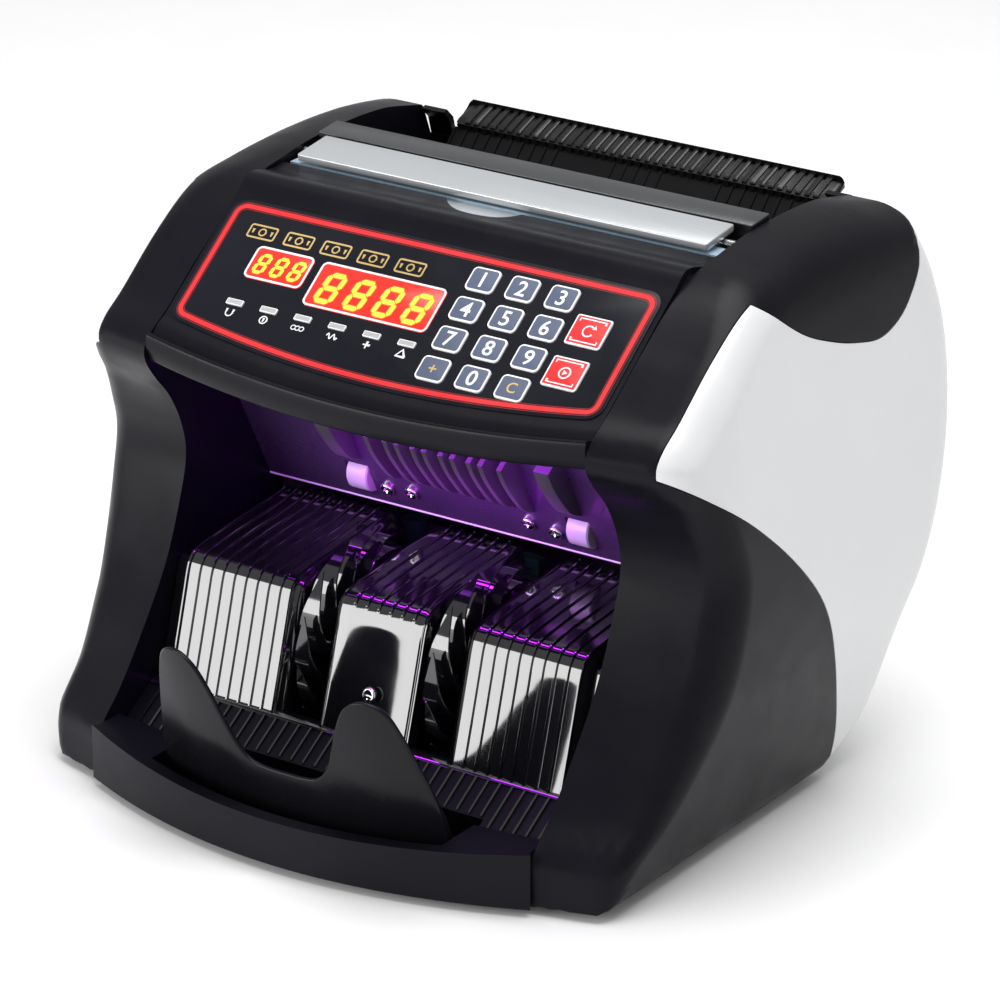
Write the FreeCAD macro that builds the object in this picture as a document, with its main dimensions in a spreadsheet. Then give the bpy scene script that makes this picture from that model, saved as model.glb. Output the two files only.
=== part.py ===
"""Banknote counting machine, as a parametric FreeCAD document.

The frame is in millimetres. The machine stands on z = 0, its front faces -Y, +X is the right-hand
side seen from the front, and x = 0 is the plane midway between the two sides.
Every sub-part is one object with its own Label, and each is written to parts/LABEL.step.
"""
import FreeCAD, Part
import math
import os
from FreeCAD import Placement, Rotation, Vector

doc = FreeCAD.newDocument("banknote_counter")

# ---------------------------------------------------------------- driving dimensions
DRIVING = [
    ("throat_half", 100.7, "half the clear width between the cheeks, for notes up to 190 mm"),
    ("side_gap", 0.4, "gap between a cheek and the pieces that sit between the cheeks"),
    ("wall", 2.6, "thickness of the moulded shells"),
    ("parting_gap", 0.3, "gap along a parting line between two shells"),
    ("foot_height", 3.0, "height of the rubber feet"),
    ("foot_radius", 8.0, "radius of a rubber foot"),
    ("lip_height", 25.5, "height of the front lip of the base above the floor at its ends"),
    ("lip_sag", 4.5, "how much lower the front lip is at its middle"),
    ("lip_corner_depth", 108.1, "distance of the ends of the front lip ahead of the origin"),
    ("lip_centre_depth", 131.5, "distance of the middle of the front lip ahead of the origin"),
    ("ledge_depth", 94.0, "distance of the back edge of the lip's top ahead of the origin"),
    ("panel_slope", 37.4, "slope of the control panel in degrees"),
    ("panel_top_y", -14.8, "y of the top edge of the panel's red outline"),
    ("panel_top_z", 212.8, "z of the top edge of the panel's red outline"),
    ("panel_length", 53.5, "length of the outlined field down the slope at its ends"),
    ("panel_bow", 9.0, "how much further the outlined field reaches at its middle"),
    ("outline_half", 96.0, "half the width of the outlined field"),
    ("overlay_thick", 0.5, "thickness of the printed overlay"),
    ("key_width", 12.6, "width of a number key"),
    ("key_length", 10.7, "length of a number key down the slope"),
    ("big_key_width", 15.6, "width of the two red keys"),
    ("big_key_length", 13.4, "length of the two red keys"),
    ("key_thick", 2.2, "thickness of a key"),
    ("key_proud", 1.0, "height of a key's top above the panel's surface"),
    ("key_gap", 0.4, "clearance round a key"),
    ("key_pitch_x", 17.7, "spacing of the key columns"),
    ("key_pitch_v", 13.8, "spacing of the key rows"),
    ("gate_half", 94.4, "half the length of the silver feed gate"),
    ("gate_thick", 3.2, "thickness of the feed gate"),
    ("hinge_radius", 1.5, "radius of the feed gate's hinge pin"),
    ("shaft_radius", 4.0, "radius of the feed and transport shafts"),
    ("stacker_shaft_radius", 3.0, "radius of the stacker shaft"),
    ("running_gap", 0.05, "radial clearance of a shaft in its bearing"),
    ("bearing_radius", 8.0, "outer radius of the shaft bearings"),
    ("chassis_inner", 104.5, "x of the inner face of a chassis plate"),
    ("chassis_thick", 1.5, "thickness of a chassis plate"),
    ("feed_y", 60.0, "y of the feed shaft"),
    ("feed_z", 128.8, "z of the feed shaft"),
    ("feed_roller_radius", 17.0, "radius of the rubber feed rollers"),
    ("transport_y", 24.8, "y of the transport shaft"),
    ("transport_z", 103.0, "z of the transport shaft"),
    ("transport_roller_radius", 12.0, "radius of the transport rollers"),
    ("pinch_y", 5.0, "y of the pinch roller axle"),
    ("pinch_z", 105.0, "z of the pinch roller axle"),
    ("pinch_roller_radius", 7.5, "radius of the pinch rollers"),
    ("pinch_x", 51.7, "distance of a pinch roller from the middle"),
    ("stacker_y", -29.0, "y of the stacker shaft"),
    ("stacker_z", 53.0, "z of the stacker shaft"),
    ("stacker_wheel_radius", 43.0, "radius over the tips of a stacker wheel's fins"),
    ("stacker_wheel_x", 30.0, "distance of a stacker wheel from the middle"),
    ("stacker_wheel_width", 14.0, "width of a stacker wheel"),
    ("slot_inner", 21.7, "distance of the inner edge of a wheel slot from the middle"),
    ("slot_outer", 38.3, "distance of the outer edge of a wheel slot from the middle"),
    ("motor_y", 62.0, "y of the motor's axis"),
    ("motor_z", 52.0, "z of the motor's axis"),
    ("motor_radius", 22.0, "radius of the motor's can"),
    ("belt_thick", 1.5, "thickness of a drive belt"),
    ("belt_width", 5.0, "width of a drive belt"),
    ("rib_pitch", 5.5, "spacing of the ribs that notes slide on"),
    ("tray_half", 88.6, "half the width of the feed tray's upper lip"),
    ("screw_head_radius", 3.0, "radius of the head of a pan-head screw"),
]

sheet = doc.addObject("Spreadsheet::Sheet", "dims")
for row, (alias, value, meaning) in enumerate(DRIVING, start=1):
    sheet.set(f"A{row}", meaning)
    sheet.set(f"B{row}", str(value))
    sheet.setAlias(f"B{row}", alias)
doc.recompute()


def dim(alias):
    """The value of a cell of the sheet."""
    return float(sheet.get(alias))


throat = dim("throat_half")
between = throat - dim("side_gap")
wall = dim("wall")
foot = dim("foot_height")
sub_parts = []

X_AXIS = Vector(1, 0, 0)
Y_AXIS = Vector(0, 1, 0)
Z_AXIS = Vector(0, 0, 1)


# ---------------------------------------------------------------- modelling helpers
def keep(obj, label):
    """Marks a document object as a sub-part and gives it its name."""
    obj.Label = label
    sub_parts.append(obj)
    return obj


def bind(obj, prop, value):
    """Sets a property, by an expression on the sheet when value is text."""
    if isinstance(value, str):
        obj.setExpression(prop, value)
    else:
        setattr(obj, prop, value)


def curve_edge(points):
    """A smooth edge through points."""
    curve = Part.BSplineCurve()
    curve.interpolate(points)
    return curve


def path_geometry(path):
    """Sketch geometry of a closed outline.

    Each entry is a corner (a, b), ("arc", mid, end) or ("curve", point, ..., end).
    """
    start = path[0]
    here = start
    edges = []
    for step in [*path[1:], start]:
        if step[0] == "arc":
            mid, end = step[1:]
            edges.append(Part.Arc(Vector(*here, 0), Vector(*mid, 0), Vector(*end, 0)))
        elif step[0] == "curve":
            end = step[-1]
            edges.append(curve_edge([Vector(*p, 0) for p in (here, *step[1:])]))
        else:
            end = step
            if math.dist(here, end) > 1e-6:
                edges.append(Part.LineSegment(Vector(*here, 0), Vector(*end, 0)))
        here = end
    return edges


def sketch_on(body, role, name, geometry, offset=0.0):
    """A sketch on one of the body's own origin planes, offset along the plane's normal."""
    plane = next(f for f in body.Origin.OriginFeatures if f.Role == role)
    drawn = body.newObject("Sketcher::SketchObject", name)
    drawn.AttachmentSupport = [(plane, "")]
    drawn.MapMode = "FlatFace"
    drawn.AttachmentOffset = Placement(Vector(0, 0, offset), Rotation())
    for piece in geometry:
        drawn.addGeometry(piece)
    return drawn


def grow(body, kind, drawn, length, symmetric):
    """Adds a Pad or a Pocket of a sketch to the body."""
    feature = body.newObject(f"PartDesign::{kind}", f"{drawn.Name}_{kind}")
    feature.Profile = drawn
    feature.SideType = "Symmetric" if symmetric else "One side"
    bind(feature, "Length", length)
    doc.recompute()
    return feature


def side_plate(label, path, width, cuts=()):
    """A body extruded along X, the same both ways from x = 0, with optional cuts.

    cuts holds (path, width) pairs in the same side view.
    """
    body = doc.addObject("PartDesign::Body", f"{label}_body")
    drawn = sketch_on(body, "YZ_Plane", f"{label}_side", path_geometry(path))
    grow(body, "Pad", drawn, width, True)
    for index, (cut_path, cut_width) in enumerate(cuts):
        drawn = sketch_on(body, "YZ_Plane", f"{label}_cut{index}", path_geometry(cut_path))
        grow(body, "Pocket", drawn, cut_width, True)
    return body


def prism(path, axis, start, length):
    """A solid extruded along X, Y or Z from a closed outline in the plane across that axis."""
    turned = {
        "X": lambda a, b: Vector(start, a, b),
        "Y": lambda a, b: Vector(a, start, b),
        "Z": lambda a, b: Vector(a, b, start),
    }[axis]
    here = path[0]
    edges = []
    for step in [*path[1:], path[0]]:
        if step[0] == "arc":
            mid, end = step[1:]
            edges.append(Part.Arc(turned(*here), turned(*mid), turned(*end)).toShape())
        elif step[0] == "curve":
            end = step[-1]
            edges.append(curve_edge([turned(*p) for p in (here, *step[1:])]).toShape())
        else:
            end = step
            if math.dist(here, end) > 1e-6:
                edges.append(Part.makeLine(turned(*here), turned(*end)))
        here = end
    direction = {"X": X_AXIS, "Y": Y_AXIS, "Z": Z_AXIS}[axis]
    return Part.Face(Part.Wire(edges)).extrude(direction * length)


def block(x0, x1, y0, y1, z0, z1):
    """A box between two corners."""
    return Part.makeBox(x1 - x0, y1 - y0, z1 - z0, Vector(x0, y0, z0))


def rod(x0, x1, y, z, radius):
    """A cylinder along X."""
    return Part.makeCylinder(radius, x1 - x0, Vector(x0, y, z), X_AXIS)


def fused(shapes):
    """One solid made of touching or overlapping shapes."""
    first, *rest = shapes
    return first.fuse(rest).removeSplitter() if rest else first


def shape_part(label, shape, placement=None):
    """A sub-part whose shape is made directly, because no feature fits it."""
    obj = doc.addObject("Part::Feature", label)
    obj.Shape = shape
    if placement is not None:
        obj.Placement = placement
    return keep(obj, label)


def mirrored(shape):
    """The same shape on the other side of x = 0."""
    return shape.mirror(Vector(0, 0, 0), X_AXIS)


def placed(shape, placement):
    """The same shape moved to a placement."""
    moved = shape.copy()
    moved.Placement = placement
    return moved


def shift_outline(points, distance):
    """Points moved sideways to the left of their direction of travel by distance."""
    moved = []
    for index, (a, b) in enumerate(points):
        before = points[max(index - 1, 0)]
        after = points[min(index + 1, len(points) - 1)]
        run = math.dist(before, after)
        along = ((after[0] - before[0]) / run, (after[1] - before[1]) / run)
        moved.append((a - along[1] * distance, b + along[0] * distance))
    return moved


# ---------------------------------------------------------------- outline of the housing
# Side view (y, z) of a cheek's inner face, clockwise seen from +X, from the front foot up,
# over the top, down the back and along the floor.
FRONT_LOW = [(-105.6, foot), (-106.0, 13.0), (-105.0, 22.0), (-92.2, 35.1), (-77.1, 54.1),
             (-62.0, 76.3), (-52.2, 98.9), (-46.9, 118.5), (-49.5, 132.0), (-56.5, 145.5),
             (-65.0, 155.5), (-70.5, 163.5)]
FRONT_HIGH = [(-71.3, 168.8), (-67.0, 174.3), (-56.0, 181.5), (-35.0, 197.4), (-5.0, 216.5), (20.0, 221.6),
              (54.7, 225.2), (85.0, 223.6), (114.0, 217.6)]
BACK = [(122.9, 195.3), (127.6, 172.0), (126.6, 140.0), (120.5, 111.3), (109.1, 77.2),
        (92.3, 46.0), (79.0, 19.0), (54.8, foot)]
# How far the front falls back at x = OUTSIDE, for each point from the foot to the hopper.
FRONT_SWEEP = [14.0, 17.0, 21.0, 23.0, 18.5, 13.5, 10.0, 7.0, 5.5, 6.5, 8.0, 10.0,
               10.5, 10.0, 9.0, 7.0, 3.0, 0.0, 0.0, 0.0, 0.0]
OUTSIDE = 152.0

# Half width of the housing at the heights of its widest sections (barrel shape).
BARREL = [(foot, 129.5), (10.0, 131.6), (20.0, 134.2), (40.0, 138.8), (60.0, 142.6),
          (77.0, 145.2), (100.0, 146.5), (120.0, 146.0), (145.0, 144.0), (170.0, 141.0),
          (190.0, 138.0), (206.0, 134.6), (216.0, 130.5), (223.0, 124.0), (227.5, 113.0),
          (228.0, 100.0)]


def housing_wire(x, swept, inset):
    """Side outline of the housing at x, inset all round, with its front swept back by a share."""
    front = [(y + back * swept, z) for (y, z), back in zip(FRONT_LOW + FRONT_HIGH, FRONT_SWEEP)]
    low, high = front[:len(FRONT_LOW)], front[len(FRONT_LOW):]
    low, high, back = [shift_outline(run, -inset) for run in (low, high, BACK)]
    edges = []
    for run in (low, [low[-1], high[0]], high, [high[-1], back[0]], back, [back[-1], low[0]]):
        points = [Vector(x, y, z) for y, z in run]
        edges.append(curve_edge(points).toShape() if len(points) > 2 else Part.makeLine(*points))
    return Part.Wire(edges)


def housing_side(inset, inner_x):
    """The right-hand side of the housing from inner_x outwards, as one solid, inset all round."""
    share = (inner_x - throat) / (OUTSIDE - throat)
    wires = [housing_wire(inner_x, share, inset), housing_wire(OUTSIDE, 1.0, inset)]
    swept = Part.makeLoft(wires, True, True)
    barrel = [(half - inset, z) for z, half in BARREL]
    barrel_path = [(0.0, 0.0), (barrel[0][0], 0.0), barrel[0], ("curve", *barrel[1:]),
                   (0.0, barrel[-1][1])]
    side = swept.common(prism(barrel_path, "Y", -160.0, 320.0))
    return side.cut(block(0, OUTSIDE, -200, 200, -50, foot + inset))


# ---------------------------------------------------------------- cheeks and white side panels
# Side view (y, z) of the white panel: its lower sweep from the front, and the edge of the black
# lobe that comes down from the top. In front it ends in a straight edge at one x.
PANEL_SWEEP = [(-80.0, 173.5), (-65.5, 164.8), (-46.1, 151.9), (-22.2, 134.9), (3.8, 112.4),
               (24.3, 89.5), (36.8, 66.3), (46.8, 42.9), (55.3, 19.5), (58.0, -4.0)]
LOBE = [(137.0, 215.0), (111.8, 213.0), (106.0, 198.7), (99.2, 191.0), (88.7, 183.6),
        (73.1, 179.7), (55.3, 182.8), (38.1, 188.3), (19.0, 196.9), (-3.5, 213.8),
        (-14.0, 224.0)]
PANEL_INNER_X = 112.0
PANEL_FRONT_X = 127.5
PANEL_FRONT_Y = 4.0
# Window in a cheek's inner wall for the shafts, hidden behind the stacker and under the tray.
SHAFT_WINDOW = [(-40.0, 11.0), (50.0, 11.0), (72.0, 24.0), (88.0, 44.0), (94.0, 62.0),
                (98.0, 84.0), (100.0, 120.0), (100.0, 143.0), (18.0, 143.0), (15.0, 74.0),
                (-40.0, 66.0)]


def panel_cutter(grow_by):
    """The column through the side that holds the white panel, grown by a small gap."""
    corner = (PANEL_SWEEP[0][0], LOBE[-1][1])
    loop = PANEL_SWEEP + [(150.0, -4.0), (150.0, LOBE[0][1])] + LOBE + [corner]
    closed = shift_outline([loop[-1]] + loop + [loop[0]], -grow_by)[1:-1]
    count = len(PANEL_SWEEP)
    sweep, behind, lobe = closed[:count], closed[count:count + 2], closed[count + 2:-1]
    path = [sweep[0], ("curve", *sweep[1:]), *behind, lobe[0], ("curve", *lobe[1:]), closed[-1]]
    front_x, inner_x = PANEL_FRONT_X - grow_by, PANEL_INNER_X - grow_by
    column = prism(path, "X", front_x, OUTSIDE + grow_by - front_x)
    rear = prism(path, "X", inner_x, OUTSIDE - inner_x).common(
        block(inner_x, OUTSIDE, PANEL_FRONT_Y - grow_by, 200.0, -10.0, 240.0))
    return column.fuse(rear)


shell = housing_side(0.0, throat).cut(housing_side(wall, throat + wall))
side_panel = shell.common(panel_cutter(0.0))
cheek = shell.cut(panel_cutter(dim("parting_gap")))
cheek = cheek.cut(prism(SHAFT_WINDOW, "X", throat - 1.0, wall + 2.0))
shape_part("right_cheek", cheek)
shape_part("left_cheek", mirrored(cheek))
shape_part("right_side_panel", side_panel)
shape_part("left_side_panel", mirrored(side_panel))

# ---------------------------------------------------------------- base tray and feet
CORNER = (throat + 1.5, -dim("lip_corner_depth"))
CENTRE_Y = -dim("lip_centre_depth")
LEDGE_Y = -dim("ledge_depth")
LIP_Z = dim("lip_height")
BASE_REAR_Y = 50.0
FLOOR_TOP = foot + wall
STACK_FOOT = (-72.0, 32.4)
RECESS_HALF = 67.5
RECESS_FLOOR = 12.0


def lip_y(x, back=0.0):
    """y of the front lip at x, moved back by a distance: a parabola between middle and corner."""
    share = (x / CORNER[0]) ** 2
    return CENTRE_Y + back + share * (CORNER[1] - CENTRE_Y)


def lip_strip(half, back, rear_y, z0, z1):
    """A block behind the curved lip: half its width, set back from it, up to rear_y."""
    front = [(x * half / 4.0, lip_y(x * half / 4.0, back)) for x in range(-4, 5)]
    path = [front[0], ("curve", *front[1:]), (half, rear_y), (-half, rear_y)]
    return prism(path, "Z", z0, z1 - z0)


def base_shape():
    """The base: curved front lip, ledge, recess for the catcher, sloping floor and rear plate."""
    corner_y = -106.9
    plan = [(-between, corner_y), (-CORNER[0], CORNER[1])]
    plan += [("curve", *[(x * CORNER[0] / 4.0, lip_y(x * CORNER[0] / 4.0)) for x in range(-3, 5)])]
    plan += [(between, corner_y), (between, BASE_REAR_Y), (-between, BASE_REAR_Y)]
    body = prism(plan, "Z", foot, STACK_FOOT[1] - foot)
    above = [(-140.0, LIP_Z), (LEDGE_Y, LIP_Z), (LEDGE_Y, 19.0), (-74.0, 31.0), STACK_FOOT,
             (-68.0, STACK_FOOT[1]), (-64.0, FLOOR_TOP), (60.0, FLOOR_TOP), (60.0, 60.0),
             (-140.0, 60.0)]
    body = body.cut(prism(above, "X", -120.0, 240.0))
    crest = [(x * 26.0, LIP_Z - dim("lip_sag") * (1.0 - (x / 4.0) ** 2)) for x in range(-4, 5)]
    over_crest = [crest[0], ("curve", *crest[1:]), (104.0, 60.0), (-104.0, 60.0)]
    body = body.cut(prism(over_crest, "Y", -140.0, 140.0 + LEDGE_Y))
    body = body.cut(lip_strip(RECESS_HALF, 6.0, -88.0, RECESS_FLOOR, 40.0))
    for x0, x1 in ((RECESS_HALF + wall, between - wall), (wall - between, -RECESS_HALF - wall)):
        hollow_top = LIP_Z - dim("lip_sag") - wall
        hollow = lip_strip(between - wall, wall, LEDGE_Y - wall, 0.0, hollow_top)
        body = body.cut(hollow.common(block(min(x0, x1), max(x0, x1), -140, 0, 0, 40)))
    body = body.cut(lip_strip(RECESS_HALF, 6.0, LEDGE_Y - wall, 0.0, RECESS_FLOOR - wall))
    under = [(-84.0, 0.0), (-84.0, 19.0), (-72.0, 26.5), (-70.0, 26.5), (-67.0, 0.0)]
    body = body.cut(prism(under, "X", -70.0, 140.0))
    for x in (-86.0, 24.0):
        for y in (28.0, 46.0):
            boss = Part.makeCylinder(3.0, 52.0, Vector(x, y, foot + 1.0))
            body = body.fuse(boss)
    return body.removeSplitter()


shape_part("base_tray", base_shape())

feet = []
for index, (x, y) in enumerate([(-86.0, -82.0), (86.0, -82.0), (-86.0, 36.0), (86.0, 36.0)]):
    pad = doc.addObject("Part::Cylinder", f"foot_{index}")
    bind(pad, "Radius", "dims.foot_radius")
    bind(pad, "Height", "dims.foot_height")
    pad.Placement = Placement(Vector(x, y, 0), Rotation())
    feet.append(pad)
group = doc.addObject("Part::Compound", "feet_group")
group.Links = feet
keep(group, "rubber_feet")

# ---------------------------------------------------------------- control panel
SLOPE = math.radians(dim("panel_slope"))
PANEL = Placement(Vector(0, dim("panel_top_y"), dim("panel_top_z")),
                  Rotation(X_AXIS, dim("panel_slope")))
OUT_HALF = dim("outline_half")
OUT_LENGTH = dim("panel_length")


def on_panel(v, n):
    """Side view (y, z) of the point v up the slope from the outline's top and n above it."""
    return (dim("panel_top_y") + v * math.cos(SLOPE) - n * math.sin(SLOPE),
            dim("panel_top_z") + v * math.sin(SLOPE) + n * math.cos(SLOPE))


def bow(x):
    """How much further down the slope the front of the panel reaches at x."""
    return dim("panel_bow") * (1.0 - (x / OUT_HALF) ** 2)


def cover_wire(x):
    """Section of the panel cover at x: top roll, slope, flared lip and its thin inside."""
    reach = bow(x) * 0.95
    down = OUT_LENGTH + 2.5 + reach
    dy, dz = -reach * math.cos(SLOPE), -reach * math.sin(SLOPE)
    top = [(18.3, 219.6), (11.0, 218.9), on_panel(14.0, 0.0), on_panel(4.0, 0.0)]
    lip_top = (-71.0 + dy, 175.3 + dz)
    lip_low = (-69.0 + dy, 163.0 + dz)
    inside = [(lip_low[0] + wall, lip_low[1] + 0.6), (lip_top[0] + 3.2, lip_top[1] - 3.6)]
    top_in = [on_panel(4.0, -wall), on_panel(14.0, -wall), (11.5, 215.9), (18.3, 216.6)]

    def at(points):
        return [Vector(x, y, z) for y, z in points]

    edges = [curve_edge(at(top)).toShape(),
             Part.makeLine(*at([top[-1], on_panel(-down, 0.0)])),
             curve_edge(at([on_panel(-down, 0.0), on_panel(-down - 5.0, 0.7), lip_top])).toShape(),
             Part.makeLine(*at([lip_top, lip_low])),
             Part.makeLine(*at([lip_low, inside[0]])),
             Part.makeLine(*at(inside)),
             curve_edge(at([inside[1], on_panel(-down - 5.0, 0.7 - wall),
                            on_panel(-down, -wall)])).toShape(),
             Part.makeLine(*at([on_panel(-down, -wall), top_in[0]])),
             curve_edge(at(top_in)).toShape(),
             Part.makeLine(*at([top_in[-1], top[0]]))]
    return Part.Wire(edges)


KEY_X = [22.9 + column * dim("key_pitch_x") for column in range(3)]
KEY_V = [-9.6 - line * dim("key_pitch_v") for line in range(4)]
KEY_NAMES = [["key_1", "key_2", "key_3"], ["key_4", "key_5", "key_6"],
             ["key_7", "key_8", "key_9"], ["key_add", "key_0", "key_clear"]]
KEYS = {name: (x, v, "key") for names, v in zip(KEY_NAMES, KEY_V) for name, x in zip(names, KEY_X)}
KEYS["key_reset"] = (76.0, -20.8, "big_key")
KEYS["key_select"] = (75.7, -39.9, "big_key")
WINDOWS = [(-77.0, -50.1, -31.3, -16.6), (-46.0, 11.3, -37.1, -16.9)]
LED_X = [-73.4 + 16.0 * index for index in range(6)]
LED_V = -43.1
LED_SIZE = (7.6, 2.6)


def panel_block(x0, x1, v0, v1, n0, n1):
    """A box in the panel's own axes: across, up the slope, and out of the panel."""
    return block(x0, x1, v0, v1, n0, n1)


def panel_holes(gap, n0, n1):
    """Every opening through the panel, grown by a gap, in the panel's own axes."""
    holes = []
    for x, v, size in KEYS.values():
        half_w, half_l = dim(size + "_width") / 2 + gap, dim(size + "_length") / 2 + gap
        holes.append(panel_block(x - half_w, x + half_w, v - half_l, v + half_l, n0, n1))
    for x0, x1, v0, v1 in WINDOWS:
        holes.append(panel_block(x0 - gap, x1 + gap, v0 - gap, v1 + gap, n0, n1))
    for x in LED_X:
        half_w, half_l = LED_SIZE[0] / 2 + gap, LED_SIZE[1] / 2 + gap
        holes.append(panel_block(x - half_w, x + half_w, LED_V - half_l, LED_V + half_l, n0, n1))
    return Part.makeCompound(holes)


# Middle (x, y) and radius of the finger notch in the cover's top edge, below the gate.
SCOOP = (-5.0, 32.1, 22.3)
STATIONS = [between * share for share in (-1.0, -0.75, -0.5, -0.25, 0.0, 0.25, 0.5, 0.75, 1.0)]
cover = Part.makeLoft([cover_wire(x) for x in STATIONS], True, False)
through = panel_holes(dim("key_gap"), -8.0, 3.0)
through.Placement = PANEL
finger_notch = Part.makeCylinder(SCOOP[2], 20.0, Vector(SCOOP[0], SCOOP[1], 210.0), Z_AXIS)
shape_part("front_panel", cover.cut(through).cut(finger_notch))

field = [(-OUT_HALF - 2.5, 2.5), (-OUT_HALF - 2.5, -OUT_LENGTH - 2.0)]
field += [("arc", (0.0, -OUT_LENGTH - 2.0 - dim("panel_bow")),
           (OUT_HALF + 2.5, -OUT_LENGTH - 2.0)), (OUT_HALF + 2.5, 2.5)]
overlay = prism(field, "Z", 0.02, dim("overlay_thick")).cut(
    panel_holes(dim("key_gap"), -1.0, 3.0))
shape_part("keypad_overlay", overlay, PANEL)

glass = [panel_block(x0, x1, v0, v1, -1.4, 0.7) for x0, x1, v0, v1 in WINDOWS]
shape_part("display_windows", Part.makeCompound(glass), PANEL)
lenses = [panel_block(x - LED_SIZE[0] / 2, x + LED_SIZE[0] / 2, LED_V - LED_SIZE[1] / 2,
                      LED_V + LED_SIZE[1] / 2, -1.4, 0.9) for x in LED_X]
shape_part("indicator_lenses", Part.makeCompound(lenses), PANEL)

board_low, board_high = -8.6, -7.0
display_board = fused([
    panel_block(-88.0, 88.0, -56.0, 0.0, board_low, board_high),
    *[panel_block(x0 + 1.5, x1 - 1.5, v0 + 1.5, v1 - 1.5, board_high, -2.6)
      for x0, x1, v0, v1 in WINDOWS],
    *[Part.makeCylinder(2.6, 1.6, Vector(x, v, board_high)) for x, v, _ in KEYS.values()]])
shape_part("control_board", display_board, PANEL)

for name, (x, v, size) in KEYS.items():
    body = doc.addObject("PartDesign::Body", f"{name}_body")
    half_w, half_l = dim(size + "_width") / 2, dim(size + "_length") / 2
    outline = [(-half_w, -half_l), (half_w, -half_l), (half_w, half_l), (-half_w, half_l)]
    drawn = sketch_on(body, "XY_Plane", f"{name}_plan", path_geometry(outline))
    cap = grow(body, "Pad", drawn, "dims.key_thick", False)
    corners = body.newObject("PartDesign::Fillet", f"{name}_corners")
    upright = [f"Edge{index}" for index, edge in enumerate(cap.Shape.Edges, start=1)
               if abs(edge.tangentAt(edge.FirstParameter).z) > 0.99]
    corners.Base = (cap, upright)
    corners.Radius = 1.8
    seat = PANEL.multiply(Placement(Vector(x, v, dim("key_proud") - dim("key_thick")), Rotation()))
    body.Placement = seat
    keep(body, name)

# ---------------------------------------------------------------- feed gate and hopper
GATE_FRONT = (19.6, 223.6)
GATE_BACK = (38.9, 226.1)
HINGE = (33.0, 220.3)


def gate_shape():
    """The silver feed gate: a sloping bar with a knuckle under each end for its pin."""
    thick = dim("gate_thick")
    half = dim("gate_half")
    section = [GATE_FRONT, GATE_BACK, (GATE_BACK[0], GATE_BACK[1] - thick),
               (GATE_FRONT[0] + 0.6, GATE_FRONT[1] - thick)]
    bar = prism(section, "X", -half, 2 * half)
    hole = dim("hinge_radius") + dim("running_gap")
    for x in (-92.0, 84.0):
        knuckle = rod(x, x + 8.0, *HINGE, 2.6)
        web = block(x, x + 8.0, HINGE[0] - 2.4, HINGE[0] + 2.4, HINGE[1], HINGE[1] + 2.4)
        bar = bar.fuse([knuckle, web])
    return bar.cut(rod(-100.0, 100.0, *HINGE, hole)).removeSplitter()


shape_part("feed_gate", gate_shape())

pin = doc.addObject("Part::Cylinder", "hinge_pin")
bind(pin, "Radius", "dims.hinge_radius")
bind(pin, "Height", "2 * (dims.throat_half - dims.side_gap)")
pin.Placement = Placement(Vector(-between, *HINGE), Rotation(Y_AXIS, 90))
keep(pin, "gate_hinge_pin")

strip = block(-throat + 2.0, throat - 2.0, 21.0, 29.5, 216.9, 219.3)
tongue = Part.makeCylinder(SCOOP[2] - 0.5, 1.2, Vector(SCOOP[0], SCOOP[1], 216.9), Z_AXIS)
strip = strip.fuse(tongue.common(block(-40.0, 30.0, 9.0, 22.0, 216.0, 220.0)))
shape_part("gate_light_strip", strip.removeSplitter())

guide = [(19.0, 213.2), (19.0, 216.4), (30.0, 216.4), (31.0, 214.4), (41.9, 214.4), (41.9, 225.7),
         (54.5, 227.0), (54.5, 224.0), (49.0, 222.6), (36.6, 143.0), (33.6, 143.0), (44.2, 211.4),
         (30.0, 211.4), (28.5, 213.2)]
shape_part("hopper_front_guide", prism(guide, "X", -between, 2 * between))

TRAY_LIP = [(119.5, 212.1), (130.3, 216.7)]
RAMP_END = (44.0, 133.6)
TRAY_THICK = 2.5


def tray_shape():
    """The ribbed feed tray: a ramp at 45 degrees, notched for the rollers, with a raised lip."""
    root2 = math.sqrt(2.0)
    top = (119.5, 209.1)
    ramp = [RAMP_END, top, (top[0] + TRAY_THICK / root2, top[1] - TRAY_THICK / root2),
            (RAMP_END[0] + TRAY_THICK / root2, RAMP_END[1] - TRAY_THICK / root2)]
    low_ramp = [RAMP_END, (110.5, 200.1), (112.3, 198.3), ramp[3]]
    lip = [top, TRAY_LIP[0], TRAY_LIP[1], ("arc", (131.5, 215.6), (130.7, 213.9)),
           (121.3, 207.3)]
    half = dim("tray_half")
    tray = fused([prism(low_ramp, "X", -between, 2 * between), prism(ramp, "X", -half, 2 * half),
                  prism(lip, "X", -half, 2 * half)])
    count = int(half / dim("rib_pitch"))
    ribs = []
    for index in range(-count, count + 1):
        x = index * dim("rib_pitch")
        rib = [(46.0, 135.6), (48.0, 138.4), (118.4, 208.8), (118.4, 208.0)]
        if abs(abs(x) - ROLLER_X) > 11.0:
            ribs.append(prism(rib, "X", x - 0.6, 1.2))
    tray = tray.fuse(ribs)
    for side in (-1, 1):
        x = side * ROLLER_X
        tray = tray.cut(block(x - 9.5, x + 9.5, 40.0, 72.0, 120.0, 162.0))
    return tray.removeSplitter()


ROLLER_X = 26.0
shape_part("feed_tray", tray_shape())

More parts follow.
